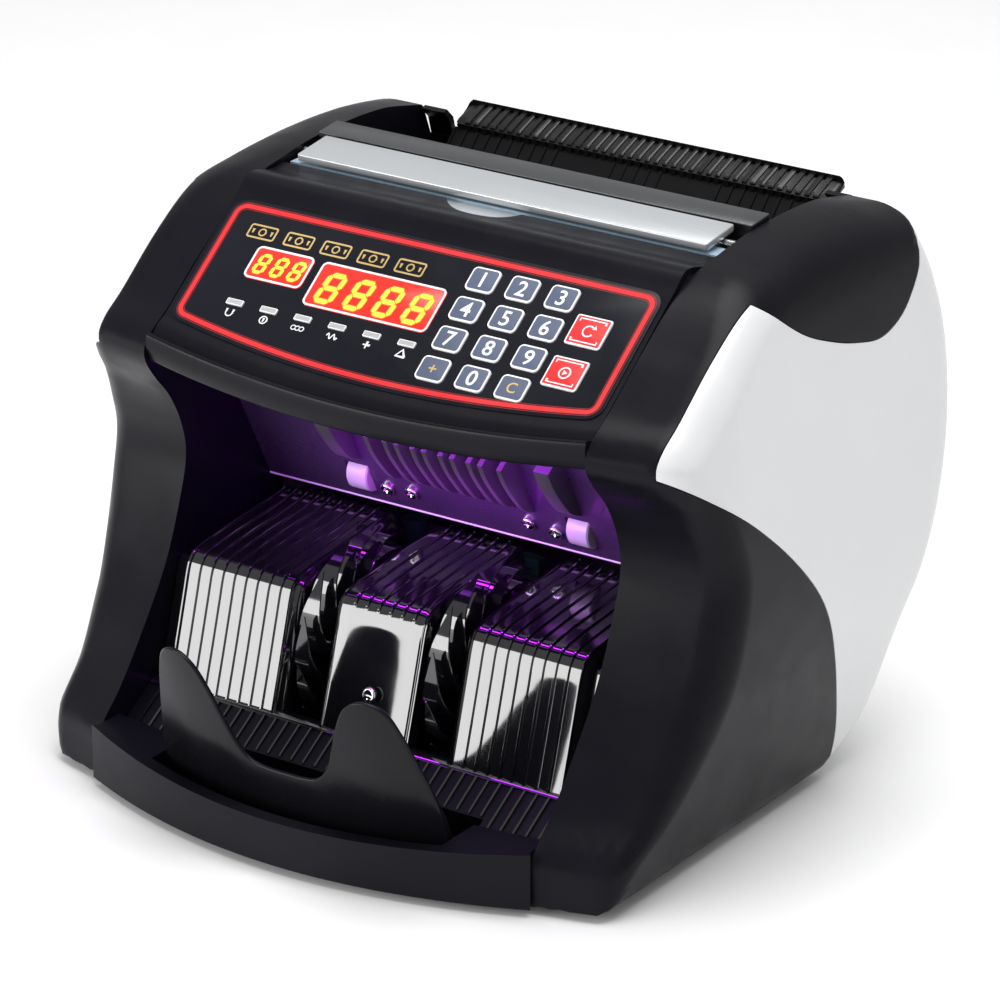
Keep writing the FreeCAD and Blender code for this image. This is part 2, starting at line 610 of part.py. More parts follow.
# ---------------------------------------------------------------- side frames and tie rods
CHASSIS = [(-44.0, 8.0), (54.0, 8.0), (70.0, 22.0), (82.0, 46.0), (98.0, 80.0), (108.0, 112.0),
           (108.0, 150.0), (100.0, 190.0), (60.0, 196.0), (30.0, 190.0), (16.0, 160.0),
           (12.0, 108.0), (-2.0, 76.0), (-44.0, 74.0)]
TIE_RODS = [(20.5, 16.0), (84.0, 74.0), (92.0, 130.0)]
FEED = (dim("feed_y"), dim("feed_z"))
TRANSPORT = (dim("transport_y"), dim("transport_z"))
STACKER = (dim("stacker_y"), dim("stacker_z"))
MOTOR = (dim("motor_y"), dim("motor_z"))
PINCH = (dim("pinch_y"), dim("pinch_z"))

for side, label in ((-1, "chassis_left"), (1, "chassis_right")):
    body = doc.addObject("PartDesign::Body", f"{label}_body")
    near = side * dim("chassis_inner") if side > 0 else -dim("chassis_inner") - dim("chassis_thick")
    outline = sketch_on(body, "YZ_Plane", f"{label}_outline", path_geometry(CHASSIS), near)
    for y, z in (FEED, TRANSPORT, STACKER):
        outline.addGeometry(Part.Circle(Vector(y, z, 0), Z_AXIS, dim("bearing_radius") + 0.05))
    if side > 0:
        outline.addGeometry(Part.Circle(Vector(*MOTOR, 0), Z_AXIS, 6.0))
    grow(body, "Pad", outline, "dims.chassis_thick", False)
    keep(body, label)

rods = []
for index, (y, z) in enumerate(TIE_RODS):
    bar = doc.addObject("Part::Cylinder", f"tie_rod_{index}")
    bar.Radius = 3.5
    bind(bar, "Height", "2 * dims.chassis_inner")
    bar.Placement = Placement(Vector(-dim("chassis_inner"), y, z), Rotation(Y_AXIS, 90))
    rods.append(bar)
group = doc.addObject("Part::Compound", "tie_rod_group")
group.Links = rods
keep(group, "tie_rods")

# ---------------------------------------------------------------- shafts, rollers and bearings
BEARING_X = (103.8, 107.4)


def shaft(label, y, z, radius_cell, left, right):
    """A plain shaft along X, between two x values."""
    body = doc.addObject("Part::Cylinder", f"{label}_rod")
    bind(body, "Radius", f"dims.{radius_cell}")
    body.Height = right - left
    body.Placement = Placement(Vector(left, y, z), Rotation(Y_AXIS, 90))
    return keep(body, label)


def tyre(x, y, z, width, radius, bore):
    """A roller centred at x on a shaft."""
    outer = rod(x - width / 2, x + width / 2, y, z, radius)
    return outer.cut(rod(x - width, x + width, y, z, bore))


SHAFT_R = dim("shaft_radius")
THIN_R = dim("stacker_shaft_radius")
shaft("feed_shaft", *FEED, "shaft_radius", -109.0, 126.0)
shaft("transport_shaft", *TRANSPORT, "shaft_radius", -109.0, 134.0)
shaft("stacker_shaft", *STACKER, "stacker_shaft_radius", -109.0, 134.0)

feed_rollers = [tyre(side * ROLLER_X, *FEED, 16.0, dim("feed_roller_radius"), SHAFT_R)
                for side in (-1, 1)]
shape_part("feed_rollers", Part.makeCompound(feed_rollers))
transport_rollers = [tyre(side * dim("pinch_x"), *TRANSPORT, 14.0, dim("transport_roller_radius"),
                          SHAFT_R) for side in (-1, 1)]
shape_part("transport_rollers", Part.makeCompound(transport_rollers))
pinch = [rod(-66.0, 66.0, *PINCH, 1.75)]
pinch += [rod(side * dim("pinch_x") - 5.0, side * dim("pinch_x") + 5.0, *PINCH,
              dim("pinch_roller_radius")) for side in (-1, 1)]
shape_part("pinch_rollers", fused(pinch))

bearings = []
for (y, z), radius in ((FEED, SHAFT_R), (TRANSPORT, SHAFT_R), (STACKER, THIN_R)):
    for side in (-1, 1):
        middle = side * sum(BEARING_X) / 2
        bearings.append(tyre(middle, y, z, BEARING_X[1] - BEARING_X[0], dim("bearing_radius"),
                             radius + dim("running_gap")))
shape_part("shaft_bearings", Part.makeCompound(bearings))

# ---------------------------------------------------------------- stacker wheels
FINS = 14
HUB_R = 13.0


def stacker_wheel(x):
    """A stacker wheel: a hub with curved fins that carry notes round and lay them down."""
    half = dim("stacker_wheel_width") / 2
    y, z = STACKER
    tip = dim("stacker_wheel_radius")

    def polar(radius, angle):
        return y + radius * math.cos(angle), z + radius * math.sin(angle)

    parts = [rod(x - half, x + half, y, z, HUB_R)]
    for index in range(FINS):
        base = 2 * math.pi * (index + 0.5) / FINS
        lead = [polar(HUB_R - 1.0, base), polar(30.0, base - 0.35), polar(tip, base - 1.15)]
        back = [polar(tip - 0.4, base - 1.19), polar(28.6, base - 0.40), polar(HUB_R - 1.0, base - 0.11)]
        fin = [lead[0], ("arc", lead[1], lead[2]), back[0], ("arc", back[1], back[2])]
        parts.append(prism(fin, "X", x - half, 2 * half))
    return fused(parts).cut(rod(x - 20, x + 20, y, z, THIN_R))


shape_part("stacker_wheel_left", stacker_wheel(-dim("stacker_wheel_x")))
shape_part("stacker_wheel_right", stacker_wheel(dim("stacker_wheel_x")))

# ---------------------------------------------------------------- motor, pulleys and belts
MOTOR_X = (42.0, dim("chassis_inner"))
MOTOR_SHAFT_R = 2.5
BELT_X = (113.0, 121.0, 129.0)
PULLEYS = {
    "motor_pulley": [(MOTOR, MOTOR_SHAFT_R, 8.0, 0)],
    "transport_pulleys": [(TRANSPORT, SHAFT_R, 14.0, 0), (TRANSPORT, SHAFT_R, 10.0, 1),
                          (TRANSPORT, SHAFT_R, 10.0, 2)],
    "feed_pulley": [(FEED, SHAFT_R, 16.0, 1)],
    "stacker_pulley": [(STACKER, THIN_R, 15.0, 2)],
}


def pulley(centre, bore, radius, stage):
    """A flanged pulley on a shaft at one of the three belt stages."""
    x, (y, z) = BELT_X[stage], centre
    half = dim("belt_width") / 2 + 0.3
    rims = [rod(x - half - 1.0, x - half, y, z, radius + 1.8),
            rod(x - half, x + half, y, z, radius), rod(x + half, x + half + 1.0, y, z, radius + 1.8)]
    return fused(rims).cut(rod(x - 10, x + 10, y, z, bore))


for label, wheels in PULLEYS.items():
    shape_part(label, Part.makeCompound([pulley(*wheel) for wheel in wheels]))


def belt_outline(first, r1, second, r2):
    """Closed outline of a loop round two circles, in side view."""
    dy, dz = second[0] - first[0], second[1] - first[1]
    run = math.hypot(dy, dz)
    aim = math.atan2(dz, dy)
    lean = math.acos((r1 - r2) / run)

    def at(centre, radius, angle):
        return centre[0] + radius * math.cos(angle), centre[1] + radius * math.sin(angle)

    return [at(first, r1, aim + lean), ("arc", at(first, r1, aim + math.pi),
            at(first, r1, aim - lean)), at(second, r2, aim - lean),
            ("arc", at(second, r2, aim), at(second, r2, aim + lean))]


def belt(first, r1, second, r2, stage):
    """A flat belt round two pulleys, with a hair of clearance."""
    x = BELT_X[stage] - dim("belt_width") / 2
    gap, thick = 0.05, dim("belt_thick")
    inner = prism(belt_outline(first, r1 + gap, second, r2 + gap), "X", x - 1, 10.0)
    outer = prism(belt_outline(first, r1 + gap + thick, second, r2 + gap + thick), "X", x,
                  dim("belt_width"))
    return outer.cut(inner)


shape_part("drive_belts", Part.makeCompound([
    belt(MOTOR, 8.0, TRANSPORT, 14.0, 0), belt(TRANSPORT, 10.0, FEED, 16.0, 1),
    belt(TRANSPORT, 10.0, STACKER, 15.0, 2)]))

can = rod(*MOTOR_X, *MOTOR, dim("motor_radius"))
can = can.cut(rod(MOTOR_X[0] + 2, MOTOR_X[1] - 2, *MOTOR, dim("motor_radius") - 2.0))
can = can.cut(rod(MOTOR_X[0] + 1, MOTOR_X[1] + 9, *MOTOR, MOTOR_SHAFT_R + dim("running_gap")))
shape_part("motor_can", can)
rotor = fused([rod(MOTOR_X[0] + 1.5, 117.0, *MOTOR, MOTOR_SHAFT_R),
               rod(MOTOR_X[0] + 12, MOTOR_X[1] - 14, *MOTOR, 15.0)])
shape_part("motor_rotor", rotor)

# ---------------------------------------------------------------- stacker and note path
STACK_FACE = [STACK_FOOT, (-66.6, 50.0), (-61.6, 67.0), (-58.2, 77.0), (-53.0, 82.6), (-44.0, 84.4),
              (-18.0, 86.6), (7.0, 88.5)]
SLOT = (dim("slot_inner"), dim("slot_outer"))
SHEET_THICK = 2.0


def strip_path(face, thick):
    """Closed outline of a sheet of a given thickness behind a curved face."""
    rear = list(reversed(shift_outline(face, -thick)))
    return [face[0], ("curve", *face[1:]), rear[0], ("curve", *rear[1:])]


def rib_positions(low, high):
    """Places of the ribs between two x values, centred in that stretch."""
    count = int((high - low - 3.0) / dim("rib_pitch"))
    start = (low + high - count * dim("rib_pitch")) / 2
    return [start + index * dim("rib_pitch") for index in range(count + 1)]


stack = prism(strip_path(STACK_FACE, SHEET_THICK), "X", -between, 2 * between)
ribs = []
rib_path = strip_path(shift_outline(STACK_FACE[:-1], 0.9), 1.6)
for low, high in ((-between + 8, -SLOT[1]), (-SLOT[0], SLOT[0]), (SLOT[1], between - 8)):
    ribs += [prism(rib_path, "X", x - 0.5, 1.0) for x in rib_positions(low, high)]
stack = stack.fuse(ribs)
for side in (-1, 1):
    x0, x1 = sorted((side * SLOT[0], side * SLOT[1]))
    stack = stack.cut(block(x0, x1, -80.0, 3.0, 35.0, 100.0))
stack = stack.cut(block(-120, 120, -80, 10, 0, STACK_FOOT[1]))
CENTRE_SEAT = Placement(Vector(2.0, -68.3, 49.5), Rotation(X_AXIS, -16.0))
for radius, length in ((1.45, 12.0), (3.3, 4.0)):
    stack = stack.cut(placed(Part.makeCylinder(radius, length, Vector(0, -4.0, 0), Y_AXIS), CENTRE_SEAT))
shape_part("stacker_back_plate", stack.removeSplitter())

DEFLECT_LOW = (7.0, 92.5)
DEFLECT_HIGH = (-24.0, 152.0)
LEAN = math.atan2(DEFLECT_LOW[0] - DEFLECT_HIGH[0], DEFLECT_HIGH[1] - DEFLECT_LOW[1])
# Axes of the deflector: x across, y out of its back, z up along it.
DEFLECTOR = Placement(Vector(0, *DEFLECT_LOW), Rotation(X_AXIS, math.degrees(LEAN)))
DEFLECT_LENGTH = math.dist(DEFLECT_LOW, DEFLECT_HIGH)
DEFLECT_THICK = 1.6


def to_deflector(y, z):
    """(out of the back, up along it) of a point of the side view, in the deflector's axes."""
    dy, dz = y - DEFLECT_LOW[0], z - DEFLECT_LOW[1]
    return (dy * math.cos(LEAN) + dz * math.sin(LEAN), -dy * math.sin(LEAN) + dz * math.cos(LEAN))


FIN_X = [-31.0, -22.2, -16.8, -9.2, -3.8, 3.8, 9.2, 16.8, 22.2, 31.0]
WIDE_FIN_X = [-dim("pinch_x"), dim("pinch_x")]
GUIDE_SCREWS = [(side * x, up) for side in (-1, 1) for x, up in ((39.5, 10.0), (27.4, 11.5))]


def guide_fin(x, width, foot_up):
    """A curved guide fin on the deflector's face, tapering away at its lower end."""
    path = [(0.2, foot_up), ("arc", (-7.2, foot_up + 14.0), (-9.5, foot_up + 32.0)),
            (0.2, foot_up + 34.0)]
    return prism(path, "X", x - width / 2, width)


def deflector_shape():
    """The deflector plate with its guide fins, roller windows and axle lugs."""
    back, up = to_deflector(*PINCH)
    plate = block(-between, between, 0.0, DEFLECT_THICK, 0.0, DEFLECT_LENGTH)
    extra = [guide_fin(x, 2.4, 18.0) for x in FIN_X] + [guide_fin(x, 7.0, 23.0) for x in WIDE_FIN_X]
    for side in (-1, 1):
        lug = block(-1.5, 1.5, 0.5, back + 4.0, up - 4.0, up + 4.0)
        lug.translate(Vector(side * 63.0, 0, 0))
        extra.append(lug)
    plate = plate.fuse(extra)
    for x in WIDE_FIN_X:
        plate = plate.cut(block(x - 5.8, x + 5.8, -2.0, 3.0, up - 8.4, up + 8.4))
    plate = plate.cut(rod(-70, 70, back, up, 1.75 + dim("running_gap")))
    for x, z in GUIDE_SCREWS:
        plate = plate.cut(Part.makeCylinder(1.45, 6.0, Vector(x, -2.0, z), Y_AXIS))
    return plate.removeSplitter()


shape_part("deflector_plate", deflector_shape(), DEFLECTOR)
LAMP = (-52.0, 164.5)
LAMP_HALF = 84.0
lamp = [rod(-LAMP_HALF, LAMP_HALF, *LAMP, 4.0)]
for side in (-1, 1):
    ends = [sorted((side * a, side * b)) for a, b in ((LAMP_HALF, 89.0), (88.0, between))]
    lamp += [rod(*ends[0], *LAMP, 5.5), block(*ends[1], LAMP[0] - 4.0, LAMP[0] + 4.0,
                                              LAMP[1] - 4.5, LAMP[1] + 4.5)]
shape_part("uv_lamp", fused(lamp))

# ---------------------------------------------------------------- note catcher
CATCH_THICK = 2.4
CATCH_LEAN = 0.33
CATCH_HALF = [(12.0, 31.4), (19.5, 38.5), (25.5, 52.0), (31.0, 68.0), (37.5, 77.0), (45.0, 79.0),
              (52.0, 75.5), (57.5, 63.0), (66.0, 25.0), (66.0, RECESS_FLOOR)]


def catcher_shape():
    """The note catcher: a sheet curved in plan and leaning forward, with two humps."""
    front = [(x, -115.0 + 0.0036 * x * x) for x in range(-72, 73, 18)]
    back = [(x, y + CATCH_THICK) for x, y in reversed(front)]
    plan = [front[0], ("curve", *front[1:]), back[0], ("curve", *back[1:])]
    edges = prism(plan, "Z", RECESS_FLOOR, 1.0).Faces
    floor_face = min(edges, key=lambda face: face.CenterOfMass.z)
    rise = 70.0
    leaning = floor_face.extrude(Vector(0, -CATCH_LEAN * rise, rise))
    right = [("curve", *CATCH_HALF[1:6]), ("curve", *CATCH_HALF[6:8]), CATCH_HALF[8],
             CATCH_HALF[9]]
    left_half = [(-x, z) for x, z in reversed(CATCH_HALF)]
    outline = [(-CATCH_HALF[0][0], CATCH_HALF[0][1]), CATCH_HALF[0], *right, left_half[0],
               left_half[1], left_half[2], ("curve", *left_half[3:5]), ("curve", *left_half[5:9]),
               left_half[9]]
    return leaning.common(prism(outline, "Y", -170.0, 120.0))


shape_part("note_catcher", catcher_shape())


# ---------------------------------------------------------------- rear cover
REAR_UPPER = [(109.1, 77.2), (120.5, 111.3), (126.6, 140.0), (127.6, 172.0), (122.9, 195.3),
              (121.2, 206.9)]
# The strips of the rear cover beside the feed tray, which go on up to the top of the cheeks.
EAR = [(121.2, 206.9), (119.4, 213.0), (115.0, 217.2), (112.4, 216.6), (116.9, 211.9),
       (118.6, 206.0), (119.5, 203.0), (122.0, 203.0)]
REAR_LOWER = [(BASE_REAR_Y + 0.3, foot), (54.8, foot), (79.0, 19.0), (92.3, 46.0)]
# Axes of the flat that carries the inlet and switch: x across, y out of it, z up along it.
REAR_TILT = math.degrees(math.atan2(92.3 - 79.0, 46.0 - 19.0))
INLET_X = -66.0
INLET = Placement(Vector(INLET_X, 85.65, 32.5), Rotation(X_AXIS, -REAR_TILT))
KNOB_Z = 160.0
KNOB_FACE_Y = 128.0


def rear_cover_shape():
    """The rear cover: a curved sheet with vents, the inlet opening and the knob's cup."""
    outer = REAR_LOWER + REAR_UPPER
    inner = list(reversed(shift_outline(outer, wall)))
    inner[0] = (inner[0][0], REAR_UPPER[-1][1] - 2.5)
    count = len(REAR_UPPER)
    path = [*REAR_LOWER, ("curve", *REAR_UPPER), inner[0], ("curve", *inner[1:count + 1]),
            *inner[count + 1:]]
    cover = prism(path, "X", -between, 2 * between)
    cup = Part.makeCylinder(13.0, 11.0, Vector(0, 117.0, KNOB_Z), Y_AXIS)
    cup = cup.common(prism([(100.0, 100.0), (126.0, 140.0), (126.8, 172.0), (100.0, 220.0)], "X",
                           -50, 100))
    ears = [prism(EAR, "X", x, 10.8) for x in (-between, between - 10.8)]
    cover = cover.fuse([cup, *ears])
    cover = cover.cut(Part.makeCylinder(10.6, 20.0, Vector(0, 119.6, KNOB_Z), Y_AXIS))
    cover = cover.cut(Part.makeCylinder(3.05, 30.0, Vector(0, 100.0, KNOB_Z), Y_AXIS))
    cover = cover.cut(placed(block(-31.2, 31.2, -6.0, 4.0, -10.3, 10.3), INLET))
    vents = []
    for column in range(12):
        for line in range(3):
            x = 18.0 + column * 6.5
            z = 84.0 + line * 14.0
            vents.append(block(x, x + 3.0, 90.0, 135.0, z, z + 10.0))
    return cover.cut(vents).removeSplitter()


shape_part("rear_cover", rear_cover_shape())

# ---------------------------------------------------------------- power inlet and switch
SOCKET_X = -14.0
SWITCH_X = 20.0
PIVOT = (-2.0, 0.0)


def inlet_shape():
    """Appliance inlet with three pins beside the well of the rocker switch."""
    module = block(-34.0, 34.0, 0.0, 2.4, -12.5, 12.5)
    module = module.fuse([block(-31.0, 8.0, -19.0, 0.0, -10.1, 10.1),
                          block(SWITCH_X - 9.5, SWITCH_X + 9.5, -14.0, 0.0, -10.1 - 1.0, 10.1)
                          .common(block(0, 40, -20, 5, -10.1, 10.1))])
    chamfered = [(-12.2, -8.2), (12.2, -8.2), (12.2, 3.6), (7.6, 8.2), (-7.6, 8.2), (-12.2, 3.6)]
    socket = prism([(SOCKET_X + x, z) for x, z in chamfered], "Y", -16.0, 20.0)
    module = module.cut(socket)
    module = module.cut(block(SWITCH_X - 6.3, SWITCH_X + 6.3, -12.0, 5.0, -9.7, 9.7))
    module = module.cut(rod(SWITCH_X - 8.2, SWITCH_X + 8.2, *PIVOT, 1.25))
    pins = [block(SOCKET_X + x - 1.0, SOCKET_X + x + 1.0, -18.0, -2.5, z - 2.0, z + 2.0)
            for x, z in ((-7.0, -2.0), (0.0, 2.0), (7.0, -2.0))]
    return module.fuse(pins).removeSplitter()


shape_part("power_inlet", inlet_shape(), INLET)

rocker_side = [(3.4, -8.6), (2.0, 0.0), (3.4, 8.6), (-2.0, 9.0), (-7.0, 5.0), (-7.0, -5.0),
               (-2.0, -9.0)]
rocker_parts = [prism(rocker_side, "X", SWITCH_X - 5.9, 11.8),
                rod(SWITCH_X - 8.0, SWITCH_X + 8.0, *PIVOT, 1.2)]
for piece in rocker_parts:
    piece.rotate(Vector(0, *PIVOT), X_AXIS, 7.0)
shape_part("power_switch", fused(rocker_parts), INLET)

knob = Part.makeCylinder(9.0, 9.0, Vector(0, 121.6, KNOB_Z), Y_AXIS)
flutes = []
for index in range(18):
    angle = 2 * math.pi * index / 18
    flutes.append(Part.makeCylinder(0.9, 8.0, Vector(9.2 * math.cos(angle), 123.0,
                                                     KNOB_Z + 9.2 * math.sin(angle)), Y_AXIS))
knob = knob.cut(flutes).cut(block(-1.0, 1.0, 129.6, 132.0, KNOB_Z + 2.0, KNOB_Z + 8.0))
knob = knob.fuse(Part.makeCylinder(3.0, 16.0, Vector(0, 106.0, KNOB_Z), Y_AXIS)).removeSplitter()
shape_part("gap_knob", knob)

# ---------------------------------------------------------------- main board and transformer
BOARD_Z = 56.0
board = [block(-92.0, 30.0, 22.0, 54.0, BOARD_Z, BOARD_Z + 1.6)]
board += [Part.makeCylinder(5.0, 14.0, Vector(x, 44.0, BOARD_Z + 1.0)) for x in (-70.0, -56.0)]
board += [block(x, x + 14.0, 28.0, 34.0, BOARD_Z + 1.0, BOARD_Z + 5.0) for x in (-74.0, -46.0, -18.0)]
board += [block(x, x + 10.0, 46.0, 51.0, BOARD_Z + 1.0, BOARD_Z + 9.0) for x in (-40.0, -24.0, -8.0)]
shape_part("main_board", fused(board))

core = block(-40.0, 8.0, 31.0, 47.0, FLOOR_TOP + 1.0, 46.0)
flange = block(-48.0, 16.0, 31.0, 47.0, FLOOR_TOP, FLOOR_TOP + 1.2)
coil = block(-31.0, -1.0, 27.0, 51.0, 14.0, 38.0)
shape_part("power_transformer", fused([core, flange, coil]))


# ---------------------------------------------------------------- machine screws
def pan_head():
    """A pan-head screw with its seat at y = 0, its head towards -Y and a cross recess."""
    radius = dim("screw_head_radius")
    head = Part.makeCylinder(radius, 1.8, Vector(0, -1.8, 0), Y_AXIS)
    rim = [edge for edge in head.Edges
           if edge.BoundBox.YMax < -1.7 and edge.Curve.TypeId == "Part::GeomCircle"]
    head = head.makeFillet(1.0, rim)
    for size in ((1.7, 0.4), (0.4, 1.7)):
        head = head.cut(block(-size[0], size[0], -2.0, -0.9, -size[1], size[1]))
    return head.fuse(Part.makeCylinder(1.4, 2.2, Vector(0, -0.2, 0), Y_AXIS)).removeSplitter()


screws = []
for x, up in GUIDE_SCREWS:
    fixing = placed(pan_head(), Placement(Vector(x, 0, up), Rotation()))
    screws.append(placed(fixing, DEFLECTOR.multiply(fixing.Placement)))
screws.append(placed(pan_head(), CENTRE_SEAT))
shape_part("machine_screws", Part.makeCompound(screws))

# ---------------------------------------------------------------- checks and export
doc.recompute()
broken = [obj.Label for obj in doc.Objects if {"Invalid", "Error"} & set(obj.State)]
empty = [obj.Label for obj in sub_parts if obj.Shape.isNull() or not obj.Shape.isValid()]
if broken or empty:
    raise RuntimeError(f"not valid: {broken} {empty}")

os.makedirs("parts", exist_ok=True)
for obj in sub_parts:
    obj.Shape.exportStep(f"parts/{obj.Label}.step")
print(f"{len(sub_parts)} sub-parts written")
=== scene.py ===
"""Looks of the banknote counting machine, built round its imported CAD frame.

Sizes are in millimetres and are turned into metres where a mesh is made. The machine's front faces
-Y, +X is its right-hand side and z = 0 is the table.
"""
import bmesh
import bpy
import math
import numpy as np
from mathutils import Matrix, Vector


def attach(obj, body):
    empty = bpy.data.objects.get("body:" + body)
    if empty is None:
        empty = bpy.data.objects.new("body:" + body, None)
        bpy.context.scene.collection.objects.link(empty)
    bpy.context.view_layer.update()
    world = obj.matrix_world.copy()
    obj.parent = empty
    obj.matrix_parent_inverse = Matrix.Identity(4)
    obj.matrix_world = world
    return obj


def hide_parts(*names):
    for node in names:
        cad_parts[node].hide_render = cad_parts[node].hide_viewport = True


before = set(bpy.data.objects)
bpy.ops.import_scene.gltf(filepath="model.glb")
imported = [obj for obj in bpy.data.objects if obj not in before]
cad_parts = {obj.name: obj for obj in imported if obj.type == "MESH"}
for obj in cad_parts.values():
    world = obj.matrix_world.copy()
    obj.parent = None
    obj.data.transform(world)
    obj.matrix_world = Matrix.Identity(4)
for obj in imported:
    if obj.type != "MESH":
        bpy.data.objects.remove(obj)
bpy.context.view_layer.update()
MM = 0.001

# ---------------------------------------------------------------- sizes shared with the CAD frame
THROAT = 100.7  # x of the cheeks' inner faces
BETWEEN = 100.3  # half the width of what stands between them
WALL = 2.6
FOOT = 3.0  # height of the shells' lower edge
SLOPE = math.radians(37.4)
PANEL_AT = (-14.8, 212.8)
PANEL = Matrix.Translation((0, *PANEL_AT)) @ Matrix.Rotation(SLOPE, 4, "X")
OUT_HALF, OUT_LENGTH = 96.0, 53.5  # the panel's outlined field
BOW = 9.0  # how far the field's lower edge bulges
FACE = 0.5  # height of the printed film
SHARP = 35.0  # edges sharper than this many degrees stay crisp


# ---------------------------------------------------------------- materials
# Features per metre of the colour mottling and of the uneven gloss.
MOTTLE_SCALE, SMEAR_SCALE = 14.0, 60.0


def noise(tree, where, per_metre, detail=3.0, stretch=None):
    """Noise at a scale given in features per metre, stretched along an axis if asked."""
    if stretch:
        mapping = tree.nodes.new("ShaderNodeMapping")
        mapping.inputs["Scale"].default_value = stretch
        tree.links.new(where, mapping.inputs["Vector"])
        where = mapping.outputs["Vector"]
    made = tree.nodes.new("ShaderNodeTexNoise")
    made.inputs["Scale"].default_value = per_metre
    made.inputs["Detail"].default_value = detail
    tree.links.new(where, made.inputs["Vector"])
    return made.outputs["Fac"]


def spread(tree, value, low, high, start=0.3, end=0.7):
    """Maps a noise value onto a range."""
    made = tree.nodes.new("ShaderNodeMapRange")
    for socket, number in zip(made.inputs[1:5], (start, end, low, high)):
        socket.default_value = number
    tree.links.new(value, made.inputs["Value"])
    return made.outputs["Result"]


def blend_colour(tree, share, first, second):
    """Mixes two colours by a share."""
    made = tree.nodes.new("ShaderNodeMix")
    made.data_type = "RGBA"
    made.inputs[6].default_value = (*first, 1)
    made.inputs[7].default_value = (*second, 1)
    tree.links.new(share, made.inputs["Factor"])
    return made.outputs[2]


def surface(name, colour, rough, metallic=0.0, mottle=0.12, grain=900.0, depth=0.00002,
            rough_swing=0.06, coat=0.0, ior=1.5, stretch=None, emit=None, glow=0.0,
            transmission=0.0):
    """A moulded, painted or metal surface: mottled colour, uneven gloss and a fine grain."""
    made = bpy.data.materials.new(name)
    made.use_nodes = True
    tree = made.node_tree
    shader = next(n for n in tree.nodes if n.type == "BSDF_PRINCIPLED")
    where = tree.nodes.new("ShaderNodeTexCoord").outputs["Object"]
    broad = spread(tree, noise(tree, where, MOTTLE_SCALE), 0.0, 1.0)
    darker = tuple(c * (1 - mottle) for c in colour)
    lighter = tuple(min(c * (1 + mottle), 1) for c in colour)
    tree.links.new(blend_colour(tree, broad, darker, lighter), shader.inputs["Base Color"])
    smear = spread(tree, noise(tree, where, SMEAR_SCALE, 4.0, stretch), rough - rough_swing,
                   rough + rough_swing)
    tree.links.new(smear, shader.inputs["Roughness"])
    if depth:
        bump = tree.nodes.new("ShaderNodeBump")
        bump.inputs["Distance"].default_value = depth
        bump.inputs["Strength"].default_value = 1.0
        tree.links.new(noise(tree, where, grain, 2.0, stretch), bump.inputs["Height"])
        tree.links.new(bump.outputs["Normal"], shader.inputs["Normal"])
    values = {"Metallic": metallic, "IOR": ior, "Coat Weight": coat, "Coat Roughness": 0.04,
              "Transmission Weight": transmission}
    if emit:
        values.update({"Emission Color": (*emit, 1), "Emission Strength": glow})
    for socket, value in values.items():
        shader.inputs[socket].default_value = value
    return made


SATIN_BLACK = surface("satin_black", (0.0045, 0.0045, 0.0075), 0.33, grain=2600, depth=0.00001,
                      ior=1.23)
PEARL_WHITE = surface("pearl_white", (0.755, 0.76, 0.77), 0.33, mottle=0.02, grain=3500,
                      depth=0.000004, rough_swing=0.03, coat=0.25)
GLOSS_BLACK = surface("gloss_black", (0.006, 0.006, 0.008), 0.07, grain=60, depth=0.00003,
                      rough_swing=0.02, coat=0.5, ior=1.7)
CATCHER_BLACK = surface("catcher_black", (0.006, 0.006, 0.008), 0.24, grain=1800, depth=0.000006,
                        ior=1.27)
HOPPER_BLACK = surface("hopper_black", (0.005, 0.005, 0.006), 0.34, grain=2200, depth=0.000012,
                       ior=1.25)
LIP_BLACK = surface("lip_black", (0.010, 0.010, 0.011), 0.28, grain=2200, depth=0.000012, ior=1.4)
FILM_BLACK = surface("film_black", (0.007, 0.0075, 0.012), 0.30, grain=4200, depth=0.000008,
                     ior=1.27)
BORDER_RED = surface("border_red", (0.62, 0.022, 0.026), 0.35, mottle=0.06, grain=3000,
                     depth=0.000006)
DARK_RED = surface("dark_red", (0.28, 0.010, 0.012), 0.4, grain=3000, depth=0.000004)
PRINT_WHITE = surface("print_white", (0.80, 0.80, 0.82), 0.45, mottle=0.05, grain=3000,
                      depth=0.000004)
PRINT_GOLD = surface("print_gold", (0.70, 0.50, 0.20), 0.34, metallic=0.5, grain=3000,
                     depth=0.000004)
KEY_BLUE = surface("key_blue", (0.075, 0.095, 0.155), 0.5, mottle=0.2, grain=2600, depth=0.00002)
# Red keys: red plastic with a faint painted glow that brightens them; the keys are no lamps.
KEY_RED = surface("key_red", (0.72, 0.018, 0.02), 0.42, mottle=0.12, grain=2600, depth=0.00002,
                  emit=(0.9, 0.02, 0.02), glow=0.12)
LENS_GREY = surface("lens_grey", (0.42, 0.42, 0.43), 0.4, mottle=0.08, grain=2400, depth=0.00002)
DISPLAY_RED = surface("display_red", (0.75, 0.02, 0.012), 0.18, mottle=0.1, depth=0,
                      emit=(1.0, 0.012, 0.008), glow=0.75)
DIGIT_ORANGE = surface("digit_orange", (1.0, 0.45, 0.05), 0.3, mottle=0.05, depth=0,
                       emit=(1.0, 0.36, 0.015), glow=1.9)
DIGIT_GLOW = surface("digit_glow", (1.0, 0.12, 0.03), 0.3, mottle=0.05, depth=0,
                     emit=(1.0, 0.09, 0.01), glow=1.2)
SILVER = surface("silver", (0.56, 0.58, 0.60), 0.32, metallic=0.5, mottle=0.03, grain=700,
                 depth=0.000008, stretch=(0.04, 1, 1))
PALE_BLUE = surface("pale_blue", (0.42, 0.58, 0.70), 0.25, mottle=0.06, depth=0.000004,
                    transmission=0.15)
DARK_STRIP = surface("dark_strip", (0.045, 0.047, 0.05), 0.28, grain=2000, depth=0.00001)
